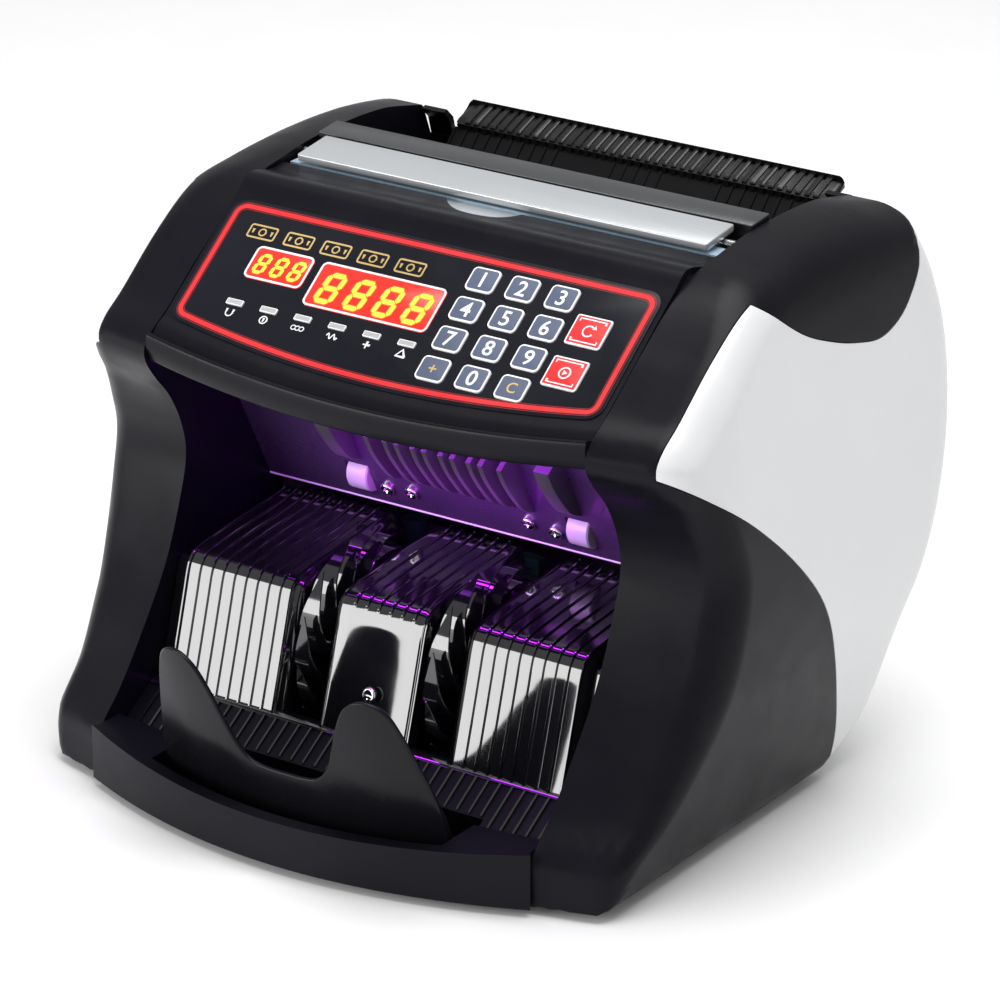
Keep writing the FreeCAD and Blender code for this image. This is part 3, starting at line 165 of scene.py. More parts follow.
STEEL = surface("steel", (0.55, 0.55, 0.56), 0.28, metallic=1.0, grain=500, depth=0.00001,
                stretch=(0.1, 1, 1))
SHEET_STEEL = surface("sheet_steel", (0.50, 0.52, 0.54), 0.38, metallic=1.0, grain=300,
                      depth=0.00001)
CHROME = surface("chrome", (0.82, 0.82, 0.84), 0.08, metallic=1.0, mottle=0.02, depth=0.000003)
RUBBER = surface("rubber", (0.022, 0.022, 0.022), 0.75, grain=1600, depth=0.00005)
ROLLER = surface("roller_rubber", (0.045, 0.045, 0.047), 0.65, grain=1500, depth=0.00005,
                 stretch=(0.2, 1, 1))
PALE_ROLLER = surface("pale_roller", (0.45, 0.44, 0.48), 0.35, mottle=0.06, depth=0.00001)
BRONZE = surface("bronze", (0.48, 0.30, 0.12), 0.4, metallic=1.0, grain=1800, depth=0.00002)
PULLEY = surface("pulley", (0.62, 0.61, 0.56), 0.45, mottle=0.06, grain=1500, depth=0.00002)
DEFLECTOR = surface("deflector", (0.040, 0.022, 0.060), 0.30, grain=1800, depth=0.00001, coat=0.3)
FIN_GREY = surface("fin_grey", (0.060, 0.050, 0.070), 0.36, mottle=0.1, grain=1500, depth=0.00001)
# Painted glow: a self-lit pale violet stands in for the stacker light catching the deflector's
# lower edge.
PAINTED_GLOW_EDGE = surface("painted_glow_edge", (0.55, 0.42, 0.70), 0.3, mottle=0.05, depth=0,
                emit=(0.42, 0.16, 0.60), glow=0.3)
UV_TUBE = surface("uv_tube", (0.5, 0.3, 0.9), 0.2, depth=0, emit=(0.40, 0.04, 0.9),
                  glow=2.0)
BOARD = surface("board", (0.012, 0.10, 0.035), 0.35, mottle=0.25, grain=800, depth=0.00004)
IRON = surface("iron", (0.16, 0.16, 0.17), 0.45, metallic=0.8, grain=1200, depth=0.00005,
               stretch=(1, 8, 1))
INLET = surface("inlet", (0.014, 0.014, 0.014), 0.42, grain=1800, depth=0.00002)


# ---------------------------------------------------------------- mesh helpers
def spline(points, per=8):
    """Points along a smooth centripetal curve through points."""
    p = np.array(points, float)
    p = np.vstack([2 * p[0] - p[1], p, 2 * p[-1] - p[-2]])
    out = []
    for i in range(1, len(p) - 2):
        a, b, c, d = p[i - 1:i + 3]
        t = [0.0]
        for first, second in ((a, b), (b, c), (c, d)):
            t.append(t[-1] + max(np.linalg.norm(second - first), 1e-6) ** 0.5)
        for k in range(per):
            u = t[1] + (t[2] - t[1]) * k / per
            low = [(t[j + 1] - u) / (t[j + 1] - t[j]) * q + (u - t[j]) / (t[j + 1] - t[j]) * r
                   for j, (q, r) in enumerate(((a, b), (b, c), (c, d)))]
            mid = [(t[j + 2] - u) / (t[j + 2] - t[j]) * low[j] + (u - t[j]) / (t[j + 2] - t[j])
                   * low[j + 1] for j in (0, 1)]
            out.append((t[2] - u) / (t[2] - t[1]) * mid[0] + (u - t[1]) / (t[2] - t[1]) * mid[1])
    out.append(p[-2])
    return np.array(out)


def arc(centre, radius, start, end, count):
    """Points along an arc, angles in degrees."""
    turns = np.radians(np.linspace(start, end, count))
    return [(centre[0] + radius * math.cos(t), centre[1] + radius * math.sin(t)) for t in turns]


def shifted(points, distance, closed=True):
    """A 2-D outline moved to the left of its direction of travel."""
    p = np.array(points, float)
    if closed:
        before, after = np.roll(p, 1, 0), np.roll(p, -1, 0)
    else:
        before, after = np.vstack([p[:1], p[:-1]]), np.vstack([p[1:], p[-1:]])
    first = p - before
    second = after - p
    unit = []
    for d in (first, second):
        length = np.linalg.norm(d, axis=1, keepdims=True)
        unit.append(np.where(length > 1e-9, d / np.maximum(length, 1e-9), 0))
    both = unit[0] + unit[1]
    both /= np.maximum(np.linalg.norm(both, axis=1, keepdims=True), 1e-9)
    normal = np.stack([-both[:, 1], both[:, 0]], 1)
    cosine = np.maximum((normal * np.stack([-unit[1][:, 1], unit[1][:, 0]], 1)).sum(1), 0.5)
    return p + normal * (distance / cosine)[:, None]


def rounded_box(x0, x1, y0, y1, radius, count=5):
    """Outline of a rectangle with round corners, anticlockwise."""
    out = []
    for cx, cy, start in ((x1 - radius, y1 - radius, 0), (x0 + radius, y1 - radius, 90),
                          (x0 + radius, y0 + radius, 180), (x1 - radius, y0 + radius, 270)):
        out += arc((cx, cy), radius, start, start + 90, count)
    return out


def rectangle(y0, y1, z0, z1):
    """Outline of a rectangle, anticlockwise."""
    return [(y0, z0), (y1, z0), (y1, z1), (y0, z1)]


def centred_box(x, v, width, length, radius, gap=0.0):
    """A rounded box centred at (x, v), grown by a gap all round."""
    return rounded_box(x - width / 2 - gap, x + width / 2 + gap, v - length / 2 - gap,
                       v + length / 2 + gap, radius)


def make(name, shape, body, materials, stands_for=(), angle=SHARP):
    """Turns a mesh or bmesh in millimetres into a named piece riding on a body."""
    mesh = shape if isinstance(shape, bpy.types.Mesh) else finished(shape, name)
    mesh.transform(Matrix.Scale(MM, 4))
    for material in materials:
        mesh.materials.append(material)
    mesh.shade_smooth()
    mesh.set_sharp_from_angle(angle=math.radians(angle))
    piece = linked(name, mesh)
    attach(piece, body)
    if stands_for:
        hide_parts(*stands_for)


def join(shapes):
    """One bmesh out of shapes, each given alone or with the material index of its faces."""
    whole = bmesh.new()
    for entry in shapes:
        shape, index = entry if isinstance(entry, tuple) else (entry, 0)
        if not isinstance(shape, bpy.types.Mesh):
            for face in shape.faces:
                face.material_index = index
            holder = bpy.data.meshes.new("part")
            shape.to_mesh(holder)
            shape.free()
            shape = holder
        whole.from_mesh(shape)
        bpy.data.meshes.remove(shape)
    return whole


def finished(shape, name):
    """A mesh made from a bmesh, with its normals facing out."""
    bmesh.ops.recalc_face_normals(shape, faces=shape.faces)
    mesh = bpy.data.meshes.new(name)
    shape.to_mesh(mesh)
    shape.free()
    return mesh


def slab(outline, low, high, bevel=0.0, segments=3, place=None, both=False):
    """A flat solid from a closed outline, its upper (or both) rims rounded by a bevel."""
    shape = bmesh.new()
    base = shape.faces.new([shape.verts.new((x, y, low)) for x, y in outline])
    if base.normal.z > 0 or base.calc_area() < 0:
        base.normal_flip()
    lifted = bmesh.ops.extrude_face_region(shape, geom=[base])
    top = [v for v in lifted["geom"] if isinstance(v, bmesh.types.BMVert)]
    bmesh.ops.translate(shape, verts=top, vec=(0, 0, high - low))
    bmesh.ops.recalc_face_normals(shape, faces=shape.faces)
    if bevel:
        rims = [e for e in shape.edges
                if all(abs(v.co.z - high) < 1e-6 for v in e.verts)
                or (both and all(abs(v.co.z - low) < 1e-6 for v in e.verts))]
        soften(shape, rims, bevel, segments, True)
    if place is not None:
        bmesh.ops.transform(shape, matrix=place, verts=shape.verts)
    return shape


def soften(shape, edges, offset, segments, clamped=False):
    """Rounds edges of a shape, held back where roundings would meet if clamped."""
    bmesh.ops.bevel(shape, geom=list(edges), offset=offset, segments=segments, profile=0.5,
                    affect="EDGES", clamp_overlap=clamped)


def grid(points, closed_u=False, closed_v=False, caps=False):
    """A skin over a rows x columns array of points; caps closes the first and last row."""
    rows, columns = points.shape[:2]
    shape = bmesh.new()
    verts = [[shape.verts.new(points[i, j]) for j in range(columns)] for i in range(rows)]
    for i in range(rows if closed_u else rows - 1):
        for j in range(columns if closed_v else columns - 1):
            shape.faces.new((verts[i][j], verts[(i + 1) % rows][j],
                             verts[(i + 1) % rows][(j + 1) % columns],
                             verts[i][(j + 1) % columns]))
    if caps:
        shape.faces.new(verts[0])
        shape.faces.new(list(reversed(verts[-1])))
    bmesh.ops.recalc_face_normals(shape, faces=shape.faces)
    return shape


def across(outline, x0, x1, bevel=0.0, segments=3, both=True):
    """A solid along X from a side outline (y, z), with its two end rims rounded."""
    turn = Matrix(((0, 0, 1, 0), (1, 0, 0, 0), (0, 1, 0, 0), (0, 0, 0, 1)))
    return slab(outline, x0, x1, bevel, segments, turn, both)


def along_x(x, at):
    """The place of a turned piece whose axis lies along X through a point (y, z)."""
    return Matrix.Translation((x, *at)) @ Matrix.Rotation(math.pi / 2, 4, "Y")


def turned(profile, axis_place, count=48):
    """A solid of revolution about local Z from (radius, z) points, closed at both ends."""
    rings = []
    for k in range(count):
        t = 2 * math.pi * k / count
        rings.append([(r * math.cos(t), r * math.sin(t), z) for r, z in profile])
    shape = grid(np.array(rings), closed_u=True, closed_v=True)
    bmesh.ops.remove_doubles(shape, verts=shape.verts, dist=1e-4)
    bmesh.ops.transform(shape, matrix=axis_place, verts=shape.verts)
    return shape


def boolean(target, tool, operation):
    """Applies a boolean of one object on another."""
    step = target.modifiers.new("cut", "BOOLEAN")
    step.object = tool
    step.operation = operation
    step.solver = "MANIFOLD"
    bpy.context.view_layer.update()
    cut = bpy.data.meshes.new_from_object(
        target.evaluated_get(bpy.context.evaluated_depsgraph_get()))
    target.modifiers.clear()
    old = target.data
    target.data = cut
    bpy.data.meshes.remove(old)


def linked(name, data):
    """A new object in the scene."""
    made = bpy.data.objects.new(name, data)
    bpy.context.scene.collection.objects.link(made)
    return made


def loose(shape, name):
    """A plain object in millimetres for boolean work, not a piece."""
    return linked(name, finished(shape, name))


def discard(*objects):
    """Removes working objects and their meshes."""
    for item in objects:
        mesh = item.data
        bpy.data.objects.remove(item)
        bpy.data.meshes.remove(mesh)


def result(target, *steps):
    """The mesh left by booleans (operation, tool) on an object, which go with their tools."""
    for operation, tool in steps:
        boolean(target, tool, operation)
    mesh = target.data.copy()
    mesh.materials.clear()
    discard(target, *(tool for _, tool in steps))
    return mesh


# ---------------------------------------------------------------- side shells
# Side view (y, z) of a cheek's inner face, from the front foot up, over the top and down the back.
FRONT_LOW = [(-105.6, FOOT), (-106.0, 13.0), (-105.0, 22.0), (-92.2, 35.1), (-77.1, 54.1),
             (-62.0, 76.3), (-52.2, 98.9), (-46.9, 118.5), (-49.5, 132.0), (-56.5, 145.5),
             (-65.0, 155.5), (-70.5, 163.5)]
FRONT_HIGH = [(-71.3, 168.8), (-67.0, 174.3), (-56.0, 181.5), (-35.0, 197.4), (-5.0, 216.5),
              (20.0, 221.6), (54.7, 225.2), (85.0, 223.6), (114.0, 217.6)]
BACK = [(122.9, 195.3), (127.6, 172.0), (126.6, 140.0), (120.5, 111.3), (109.1, 77.2),
        (92.3, 46.0), (79.0, 19.0), (54.8, FOOT)]
# How far the front falls back at x = OUTSIDE, point by point from the foot up.
FRONT_SWEEP = [14.0, 17.0, 21.0, 23.0, 18.5, 13.5, 10.0, 7.0, 5.5, 6.5, 8.0, 10.0,
               10.5, 10.0, 9.0, 7.0, 3.0, 0.0, 0.0, 0.0, 0.0]
OUTSIDE = 152.0
# How much the upper flank narrows per millimetre towards the nose.
NOSE_TAPER = 0.12
# Height and half width of the barrel-shaped flanks.
BARREL = [(FOOT, 129.5), (10.0, 131.6), (20.0, 134.2), (40.0, 138.8), (60.0, 142.6),
          (77.0, 145.2), (100.0, 146.5), (120.0, 146.0), (145.0, 144.0), (170.0, 141.0),
          (190.0, 138.0), (206.0, 134.6), (216.0, 130.5), (223.0, 124.0), (227.5, 113.0),
          (228.0, 100.0)]
PANEL_SWEEP = [(-80.0, 173.5), (-65.5, 164.8), (-46.1, 151.9), (-22.2, 134.9), (3.8, 112.4),
               (24.3, 89.5), (36.8, 66.3), (46.8, 42.9), (55.3, 19.5), (58.0, -4.0)]
LOBE = [(137.0, 215.0), (111.8, 213.0), (106.0, 198.7), (99.2, 191.0), (88.7, 183.6),
        (73.1, 179.7), (55.3, 182.8), (38.1, 188.3), (19.0, 196.9), (-3.5, 213.8),
        (-14.0, 224.0)]
PANEL_INNER_X = 112.0
PANEL_FRONT_X = 127.5
PANEL_FRONT_Y = 4.0
PARTING = 0.45
SHAFT_WINDOW = [(-40.0, 11.0), (50.0, 11.0), (72.0, 24.0), (88.0, 44.0), (94.0, 62.0),
                (98.0, 84.0), (100.0, 120.0), (100.0, 143.0), (18.0, 143.0), (15.0, 74.0),
                (-40.0, 66.0)]
# Centre the skins are traced from, how near and far they may lie, and the steps of the search.
HUB = np.array([THROAT, 20.0, 110.0])
NEAREST, FARTHEST, HALVINGS = 5.0, 190.0, 19
BATCH = 4000
EDGE_ROUND = 13.0

front = [(y, z, s) for (y, z), s in zip(FRONT_LOW + FRONT_HIGH, FRONT_SWEEP)]
SIDE_LOOP = np.vstack([spline(front, 8), spline([(y, z, 0.0) for y, z in BACK], 6)])
FLANK = spline(BARREL, 8)


def outline_distance(y, z, share):
    """Distance outside the side outline (negative inside), its front swept back by share."""
    swept = SIDE_LOOP[:, 2][None] * share[:, None]
    a = SIDE_LOOP[:, :2][None] + np.stack([swept, np.zeros_like(swept)], -1)
    b = np.roll(a, -1, axis=1)
    p = np.stack([y, z], -1)[:, None, :]
    run = b - a
    t = np.clip(((p - a) * run).sum(-1) / np.maximum((run ** 2).sum(-1), 1e-9), 0, 1)
    gap = np.linalg.norm(p - a - t[..., None] * run, axis=-1).min(1)
    straddles = (a[..., 1] > p[..., 1]) != (b[..., 1] > p[..., 1])
    rise = np.where(np.abs(run[..., 1]) < 1e-9, 1e-9, run[..., 1])
    crossing = a[..., 0] + (p[..., 1] - a[..., 1]) / rise * run[..., 0]
    inside = (straddles & (p[..., 0] < crossing)).sum(1) % 2 == 1
    return np.where(inside, -gap, gap)


def housing_distance(p, inset, radius):
    """Distance outside the right-hand side shell, its edges rounded by radius."""
    x, y, z = p.T
    share = np.clip((x - THROAT) / (OUTSIDE - THROAT), 0, 1)
    side = outline_distance(y, z, share) + inset
    half = np.interp(z, FLANK[:, 0], FLANK[:, 1])
    slope = np.interp(z, FLANK[:-1, 0], np.diff(FLANK[:, 1]) / np.diff(FLANK[:, 0]))
    half = half - NOSE_TAPER * np.maximum(-30.0 - y, 0) * np.clip((z - 130.0) / 30.0, 0, 1)
    flank = (x - half) / np.sqrt(1 + slope ** 2) + inset
    # The rounding is tighter towards the floor.
    wide = radius * (1.0 - 0.55 * np.clip((60.0 - z) / 50.0, 0, 1))
    corner = np.linalg.norm(np.maximum(wide + np.stack([side, flank]), 0), axis=0)
    return np.minimum(-wide, np.maximum(side, flank)) + corner


def distances(points, inset, radius):
    """The housing distance of many points, worked out in batches."""
    return np.concatenate([housing_distance(points[i:i + BATCH], inset, radius)
                           for i in range(0, len(points), BATCH)])


def side_skin(inset, radius, start_x, around, outwards):
    """A closed, smooth solid of the right-hand side from start_x outwards."""
    even = np.arange(around) / around
    loop = np.vstack([SIDE_LOOP[:, :2], SIDE_LOOP[:1, :2]])
    steps = np.concatenate([[0], np.cumsum(np.linalg.norm(np.diff(loop, axis=0), axis=1))])
    runs = [np.interp(even * steps[-1], steps, loop[:, axis]) for axis in (0, 1)]
    turns = np.unwrap(np.arctan2(runs[1] - HUB[2], runs[0] - HUB[1]))
    turns = turns if turns[-1] > turns[0] else turns[::-1]
    tilts = np.linspace(0, np.pi / 2, outwards + 1)[:-1]
    turn, tilt = np.meshgrid(turns, tilts, indexing="ij")
    aim = np.stack([np.sin(tilt), np.cos(tilt) * np.cos(turn), np.cos(tilt) * np.sin(turn)], -1)
    aim = np.vstack([aim.reshape(-1, 3), [[1, 0, 0]]])
    hub = HUB + np.array([start_x - THROAT, 0, 0])
    low, high = np.full(len(aim), NEAREST), np.full(len(aim), FARTHEST)
    for _ in range(HALVINGS):
        middle = (low + high) / 2
        inside = distances(hub + aim * middle[:, None], inset, radius) < 0
        low, high = np.where(inside, middle, low), np.where(inside, high, middle)
    points = hub + aim * low[:, None]
    shape = bmesh.new()
    rows = points[:-1].reshape(around, outwards, 3)
    verts = [[shape.verts.new(rows[i, j]) for j in range(outwards)] for i in range(around)]
    tip = shape.verts.new(points[-1])
    for i in range(around):
        after = verts[(i + 1) % around]
        for j in range(outwards - 1):
            shape.faces.new((verts[i][j], after[j], after[j + 1], verts[i][j + 1]))
        shape.faces.new((verts[i][-1], after[-1], tip))
    shape.faces.new([verts[i][0] for i in range(around)])
    return shape


def panel_column(gap):
    """The column through the side that holds the white panel, grown by a gap."""
    corner = (PANEL_SWEEP[0][0], LOBE[-1][1])
    loop = PANEL_SWEEP + [(150.0, -4.0), (150.0, LOBE[0][1])] + LOBE + [corner]
    moved = shifted(loop, -gap)
    count = len(PANEL_SWEEP)
    outline = [*spline(moved[:count], 6), *moved[count:count + 2], *spline(moved[count + 2:-1], 6),
               moved[-1]]
    column = loose(across(outline, PANEL_FRONT_X - gap, OUTSIDE + 4.0), "column")
    rear = loose(across(outline, PANEL_INNER_X - gap, PANEL_FRONT_X + 1.0), "rear")
    behind = rectangle(PANEL_FRONT_Y - gap, 200.0, -10.0, 240.0)
    limit = loose(across(behind, 90.0, 160.0), "limit")
    boolean(rear, limit, "INTERSECT")
    boolean(column, rear, "UNION")
    discard(rear, limit)
    return column


def true_normals(mesh, side):
    """Sets normals from the true surface wherever a face follows it; side is 1 right, -1 left."""
    flip = np.array([side, 1, 1])
    count = len(mesh.vertices)
    place = np.empty(count * 3)
    mesh.vertices.foreach_get("co", place)
    place = place.reshape(-1, 3) * flip
    outside = place[:, 0] > THROAT + 0.01
    slope = np.zeros((count, 3))
    for axis in range(3):
        step = np.zeros(3)
        step[axis] = 0.5
        slope[:, axis] = (distances(place + step, 0, EDGE_ROUND)
                          - distances(place - step, 0, EDGE_ROUND))
    slope /= np.maximum(np.linalg.norm(slope, axis=1, keepdims=True), 1e-9)
    near = (np.abs(distances(place, 0, EDGE_ROUND)) < 0.12) & outside
    normals = []
    for face in mesh.polygons:
        flat = np.array(face.normal) * flip
        for index in face.vertices:
            follows = near[index] and slope[index] @ flat > 0.8
            normals.append(tuple((slope[index] if follows else flat) * flip))
    mesh.normals_split_custom_set(normals)


def side_pieces():
    """The right cheek and white panel as smooth meshes in millimetres."""
    hollow = loose(side_skin(WALL, EDGE_ROUND - WALL, THROAT + WALL, 180, 36), "hollow")
    shell = loose(side_skin(0.0, EDGE_ROUND, THROAT, 360, 72), "shell")
    boolean(shell, hollow, "DIFFERENCE")
    discard(hollow)
    skin = linked("skin", shell.data.copy())
    window = loose(across(SHAFT_WINDOW, THROAT - 1.0, THROAT + WALL + 1.0), "window")
    cheek = result(shell, ("DIFFERENCE", panel_column(PARTING)), ("DIFFERENCE", window))
    return cheek, result(skin, ("INTERSECT", panel_column(0.0)))


def mirrored(mesh):
    """The same mesh on the other side of x = 0."""
    copy = mesh.copy()
    copy.transform(Matrix.Scale(-1, 4, (1, 0, 0)))
    copy.flip_normals()
    return copy


def build_sides():
    """Both cheeks and both white panels."""
    kinds = (("cheek", SATIN_BLACK, "satin_black"), ("side_panel", PEARL_WHITE, "pearl_white"))
    for mesh, (kind, material, slot) in zip(side_pieces(), kinds):
        for word, side in (("right", 1), ("left", -1)):
            copy = mesh.copy() if side > 0 else mirrored(mesh)
            name = f"{word}_{kind}"
            piece = linked(f"{name}_shell", copy)
            copy.materials.append(material)
            copy.shade_smooth()
            true_normals(copy, side)
            copy.transform(Matrix.Scale(MM, 4))
            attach(piece, "housing")
            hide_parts(name)


build_sides()


# ---------------------------------------------------------------- control panel
KEY_SIZE = (12.6, 10.7)
BIG_KEY_SIZE = (15.6, 13.4)
KEY_BOTTOM, KEY_TOP = -1.2, 1.0
KEY_NAMES = [["key_1", "key_2", "key_3"], ["key_4", "key_5", "key_6"],
             ["key_7", "key_8", "key_9"], ["key_add", "key_0", "key_clear"]]
KEYS = {name: (22.9 + 17.7 * column, -9.6 - 13.8 * line, KEY_SIZE)
        for line, names in enumerate(KEY_NAMES) for column, name in enumerate(names)}
KEYS["key_reset"] = (76.0, -20.8, BIG_KEY_SIZE)
KEYS["key_select"] = (75.7, -39.9, BIG_KEY_SIZE)
WINDOWS = {"small": (-77.0, -50.1, -31.3, -16.6), "large": (-46.0, 11.3, -37.1, -16.9)}
LAMP_X = [-73.4 + 16.0 * index for index in range(6)]
LAMP_V = -43.1
LAMP_SIZE = (7.6, 2.6)
KEY_CORNER, WINDOW_CORNER, LAMP_CORNER = 2.2, 2.6, 0.5
HOLE_GAP = 0.4
SCOOP = (-5.0, 32.1, 22.3)


def on_panel(v, n):
    """Side view (y, z) of the point v up the slope and n above the panel."""
    return (PANEL_AT[0] + v * math.cos(SLOPE) - n * math.sin(SLOPE),
            PANEL_AT[1] + v * math.sin(SLOPE) + n * math.cos(SLOPE))


def rounded_corners(points, radii, count=6):
    """A polyline with its corners replaced by arcs, each of a fixed number of points."""
    out = [points[0]]
    for (a, b, c), radius in zip(zip(points, points[1:], points[2:]), radii):
        a, b, c = map(Vector, (a, b, c))
        if not radius:
            out.append(tuple(b))
            continue
        first, second = (a - b).normalized(), (c - b).normalized()
        half = first.angle(second) / 2
        reach = min(radius / math.tan(half), (a - b).length * 0.45, (c - b).length * 0.45)
        start, end = b + first * reach, b + second * reach
        for k in range(count):
            t = k / (count - 1)
            out.append(tuple((1 - t) ** 2 * start + 2 * t * (1 - t) * b + t * t * end))
    out.append(points[-1])
    return out


def cover_section(x):
    """Closed section (y, z) of the panel cover at x, with a rolled top and a flared lip."""
    reach = BOW * (1.0 - (x / OUT_HALF) ** 2) * 0.95
    down = OUT_LENGTH + 2.5 + reach
    dy, dz = -reach * math.cos(SLOPE), -reach * math.sin(SLOPE)
    top = [tuple(p) for p in spline([(18.3, 219.6), (11.0, 218.9), on_panel(14.0, 0.0),
                                     on_panel(4.0, 0.0)], 5)]
    lip_top = (-71.0 + dy, 175.3 + dz)
    lip_low = (-69.0 + dy, 163.0 + dz)
    flare = [tuple(p) for p in spline([on_panel(-down, 0.0), on_panel(-down - 5.0, 0.8),
                                       on_panel(-down - 9.0, 0.4)], 5)]
    front = [flare[-1], lip_top, (-71.3 + dy, 169.0 + dz), lip_low,
             (lip_low[0] + WALL, lip_low[1] + 0.6), (lip_top[0] + 3.2, lip_top[1] - 3.6)]
    front = rounded_corners(front, (2.6, 0, 1.2, 1.0))
    inside = [on_panel(-down - 4.0, 0.6 - WALL), on_panel(-down, -WALL), on_panel(4.0, -WALL),
              on_panel(14.0, -WALL), (11.5, 215.9), (18.3, 216.6)]
    return top + flare[:-1] + front + inside


def panel_holes(gap, low, high):
    """Boxes through the panel for every key, window and lamp, as one object."""
    boxes = [centred_box(x, v, *size, KEY_CORNER, gap) for x, v, size in KEYS.values()]
    boxes += [rounded_box(x0 - gap, x1 + gap, v0 - gap, v1 + gap, WINDOW_CORNER)
              for x0, x1, v0, v1 in WINDOWS.values()]
    boxes += [centred_box(x, LAMP_V, *LAMP_SIZE, LAMP_CORNER, gap) for x in LAMP_X]
    return loose(join([slab(box, low, high) for box in boxes]), "holes")


def build_cover():
    """The panel cover with its flared lip."""
    stations = [BETWEEN * math.sin(math.pi / 2 * k / 36) for k in range(-36, 37)]
    rows = np.array([[(x, y, z) for y, z in cover_section(x)] for x in stations])
    cover = loose(grid(rows, closed_v=True, caps=True), "cover")
    holes = panel_holes(HOLE_GAP, -8.0, 3.0)
    holes.data.transform(PANEL)
    notch = loose(slab(arc(SCOOP[:2], SCOOP[2], 0, 357, 120), 210.0, 230.0), "notch")
    mesh = result(cover, ("DIFFERENCE", holes), ("DIFFERENCE", notch))
    make("front_panel_shell", mesh, "housing", [SATIN_BLACK], ["front_panel"], 40)


def field_outline(inset):
    """The outlined field of the panel (x, v), with straight top and sides and a bowed bottom."""
    half, radius = OUT_HALF - inset, 5.0 - inset * 0.9

    def bottom(x):
        return -OUT_LENGTH - BOW * (1 - (x / OUT_HALF) ** 2) + inset

    loop = arc((-half + radius, -inset - radius), radius, 90, 180, 9)
    low = bottom(-half + radius)
    turn = math.degrees(math.atan2(2 * BOW / OUT_HALF, 1.0))
    loop += arc((-half + radius, low + radius / math.cos(math.radians(turn))), radius, 180,
                270 - turn, 9)
    reach = half - radius - radius * math.sin(math.radians(turn))
    loop += [(reach * k / 16, bottom(reach * k / 16)) for k in range(-15, 16)]
    loop += arc((half - radius, low + radius / math.cos(math.radians(turn))), radius, 270 + turn,
                360, 9)
    loop += arc((half - radius, -inset - radius), radius, 0, 90, 9)
    return loop


def ring(outer, inner, low, high):
    """A raised flat band between two outlines with matching points."""
    shape = bmesh.new()
    count = len(outer)
    rows = [[shape.verts.new((x, y, z)) for x, y in loop]
            for loop, z in ((outer, low), (outer, high), (inner, high), (inner, low))]
    for a, b in zip(rows, rows[1:] + rows[:1]):
        for k in range(count):
            shape.faces.new((a[k], a[(k + 1) % count], b[(k + 1) % count], b[k]))
    return shape


def stroke(points, width, low, high):
    """A thin raised line through points."""
    p = np.array(points, float)
    left, right = shifted(p, width / 2, False), shifted(p, -width / 2, False)
    return slab([*left, *right[::-1]], low, high)


def circle_stroke(centre, radius, width, low, high, start=0, end=360):
    """A raised arc line."""
    return stroke(arc(centre, radius, start, end, 28), width, low, high)


def build_overlay():
    """The printed film, its red border and its small generic marks."""
    outer = field_outline(-2.2)
    film = loose(slab(outer, 0.02, FACE, 0.15, 2), "film")
    mesh = result(film, ("DIFFERENCE", panel_holes(HOLE_GAP - 0.05, -1.0, 3.0)))
    mesh.transform(PANEL)
    make("overlay_film", mesh, "housing", [FILM_BLACK], ["keypad_overlay"], 40)
    bands = [(-0.1, 1.9, 0.10, 0), (-0.75, -0.45, 0.05, 1), (2.25, 2.5, 0.05, 1)]
    parts = [(ring(field_outline(a), field_outline(b), FACE - 0.02, FACE + height), index)
             for a, b, height, index in bands]
    panel_piece("overlay_border", join(parts), "housing", [BORDER_RED, DARK_RED])
    build_title()
    build_marks()


def panel_piece(name, shape, body, materials, stands_for=(), angle=SHARP):
    """A piece given in the panel's own axes."""
    bmesh.ops.transform(shape, matrix=PANEL, verts=shape.verts)
    make(name, shape, body, materials, stands_for, angle)


PRINT_LOW, PRINT_HIGH = FACE - 0.02, FACE + 0.05


def build_title():
    """A gold row of banknote signs where such machines carry their title."""
    parts = []
    width, height, line = 13.0, 6.4, 0.75
    for index in range(5):
        x, v = -79.0 + index * 17.4, -10.9 - 0.1 * index
        note = centred_box(x, v, width, height, 1.2)
        parts.append(ring(note, shifted(note, line), PRINT_LOW, PRINT_HIGH))
        parts.append(circle_stroke((x, v), 1.5, line * 0.8, PRINT_LOW, PRINT_HIGH))
        for side in (-1, 1):
            parts.append(stroke([(x + side * 4.3, v - 1.0), (x + side * 4.3, v + 1.0)],
                                line * 0.8, PRINT_LOW, PRINT_HIGH))
    panel_piece("title_signs", join(parts), "housing", [PRINT_GOLD])


def build_marks():
    """A small white sign under each indicator lamp: magnet, coin, rings, wave, plus, triangle."""
    wave = [(-2.4 + 0.2 * k, 1.1 * math.sin(0.2 * k * 2.6)) for k in range(25)]
    lines = [(0, [(-1.5, -0.3), (-1.5, 1.4)], 0), (0, [(1.5, -0.3), (1.5, 1.4)], 0),
             (1, [(0, -0.9), (0, 0.9)], 0), (3, wave, 0),
             (4, [(-1.6, 0), (1.6, 0)], 0), (4, [(0, -1.6), (0, 1.6)], 0.01),
             (5, [(-2.0, -1.5), (0, 1.7), (2.0, -1.5)], 0), (5, [(-2.2, -1.5), (2.2, -1.5)], 0.01)]
    circles = [(0, (0, -0.3), 1.5, 0.5, 180), (1, (0, 0), 1.6, 0.5, 0)]
    circles += [(2, (step, 0), 0.95, 0.4, 0) for step in (-1.9, 0.0, 1.9)]
    v = LAMP_V - 4.6
    parts = [circle_stroke((LAMP_X[lamp_index] + x, v + y), radius, line, PRINT_LOW, PRINT_HIGH,
                           start, 360) for lamp_index, (x, y), radius, line, start in circles]
    parts += [stroke([(LAMP_X[lamp_index] + x, v + y) for x, y in points], 0.5, PRINT_LOW,
                     PRINT_HIGH + extra) for lamp_index, points, extra in lines]
    panel_piece("lamp_signs", join(parts), "housing", [PRINT_WHITE])


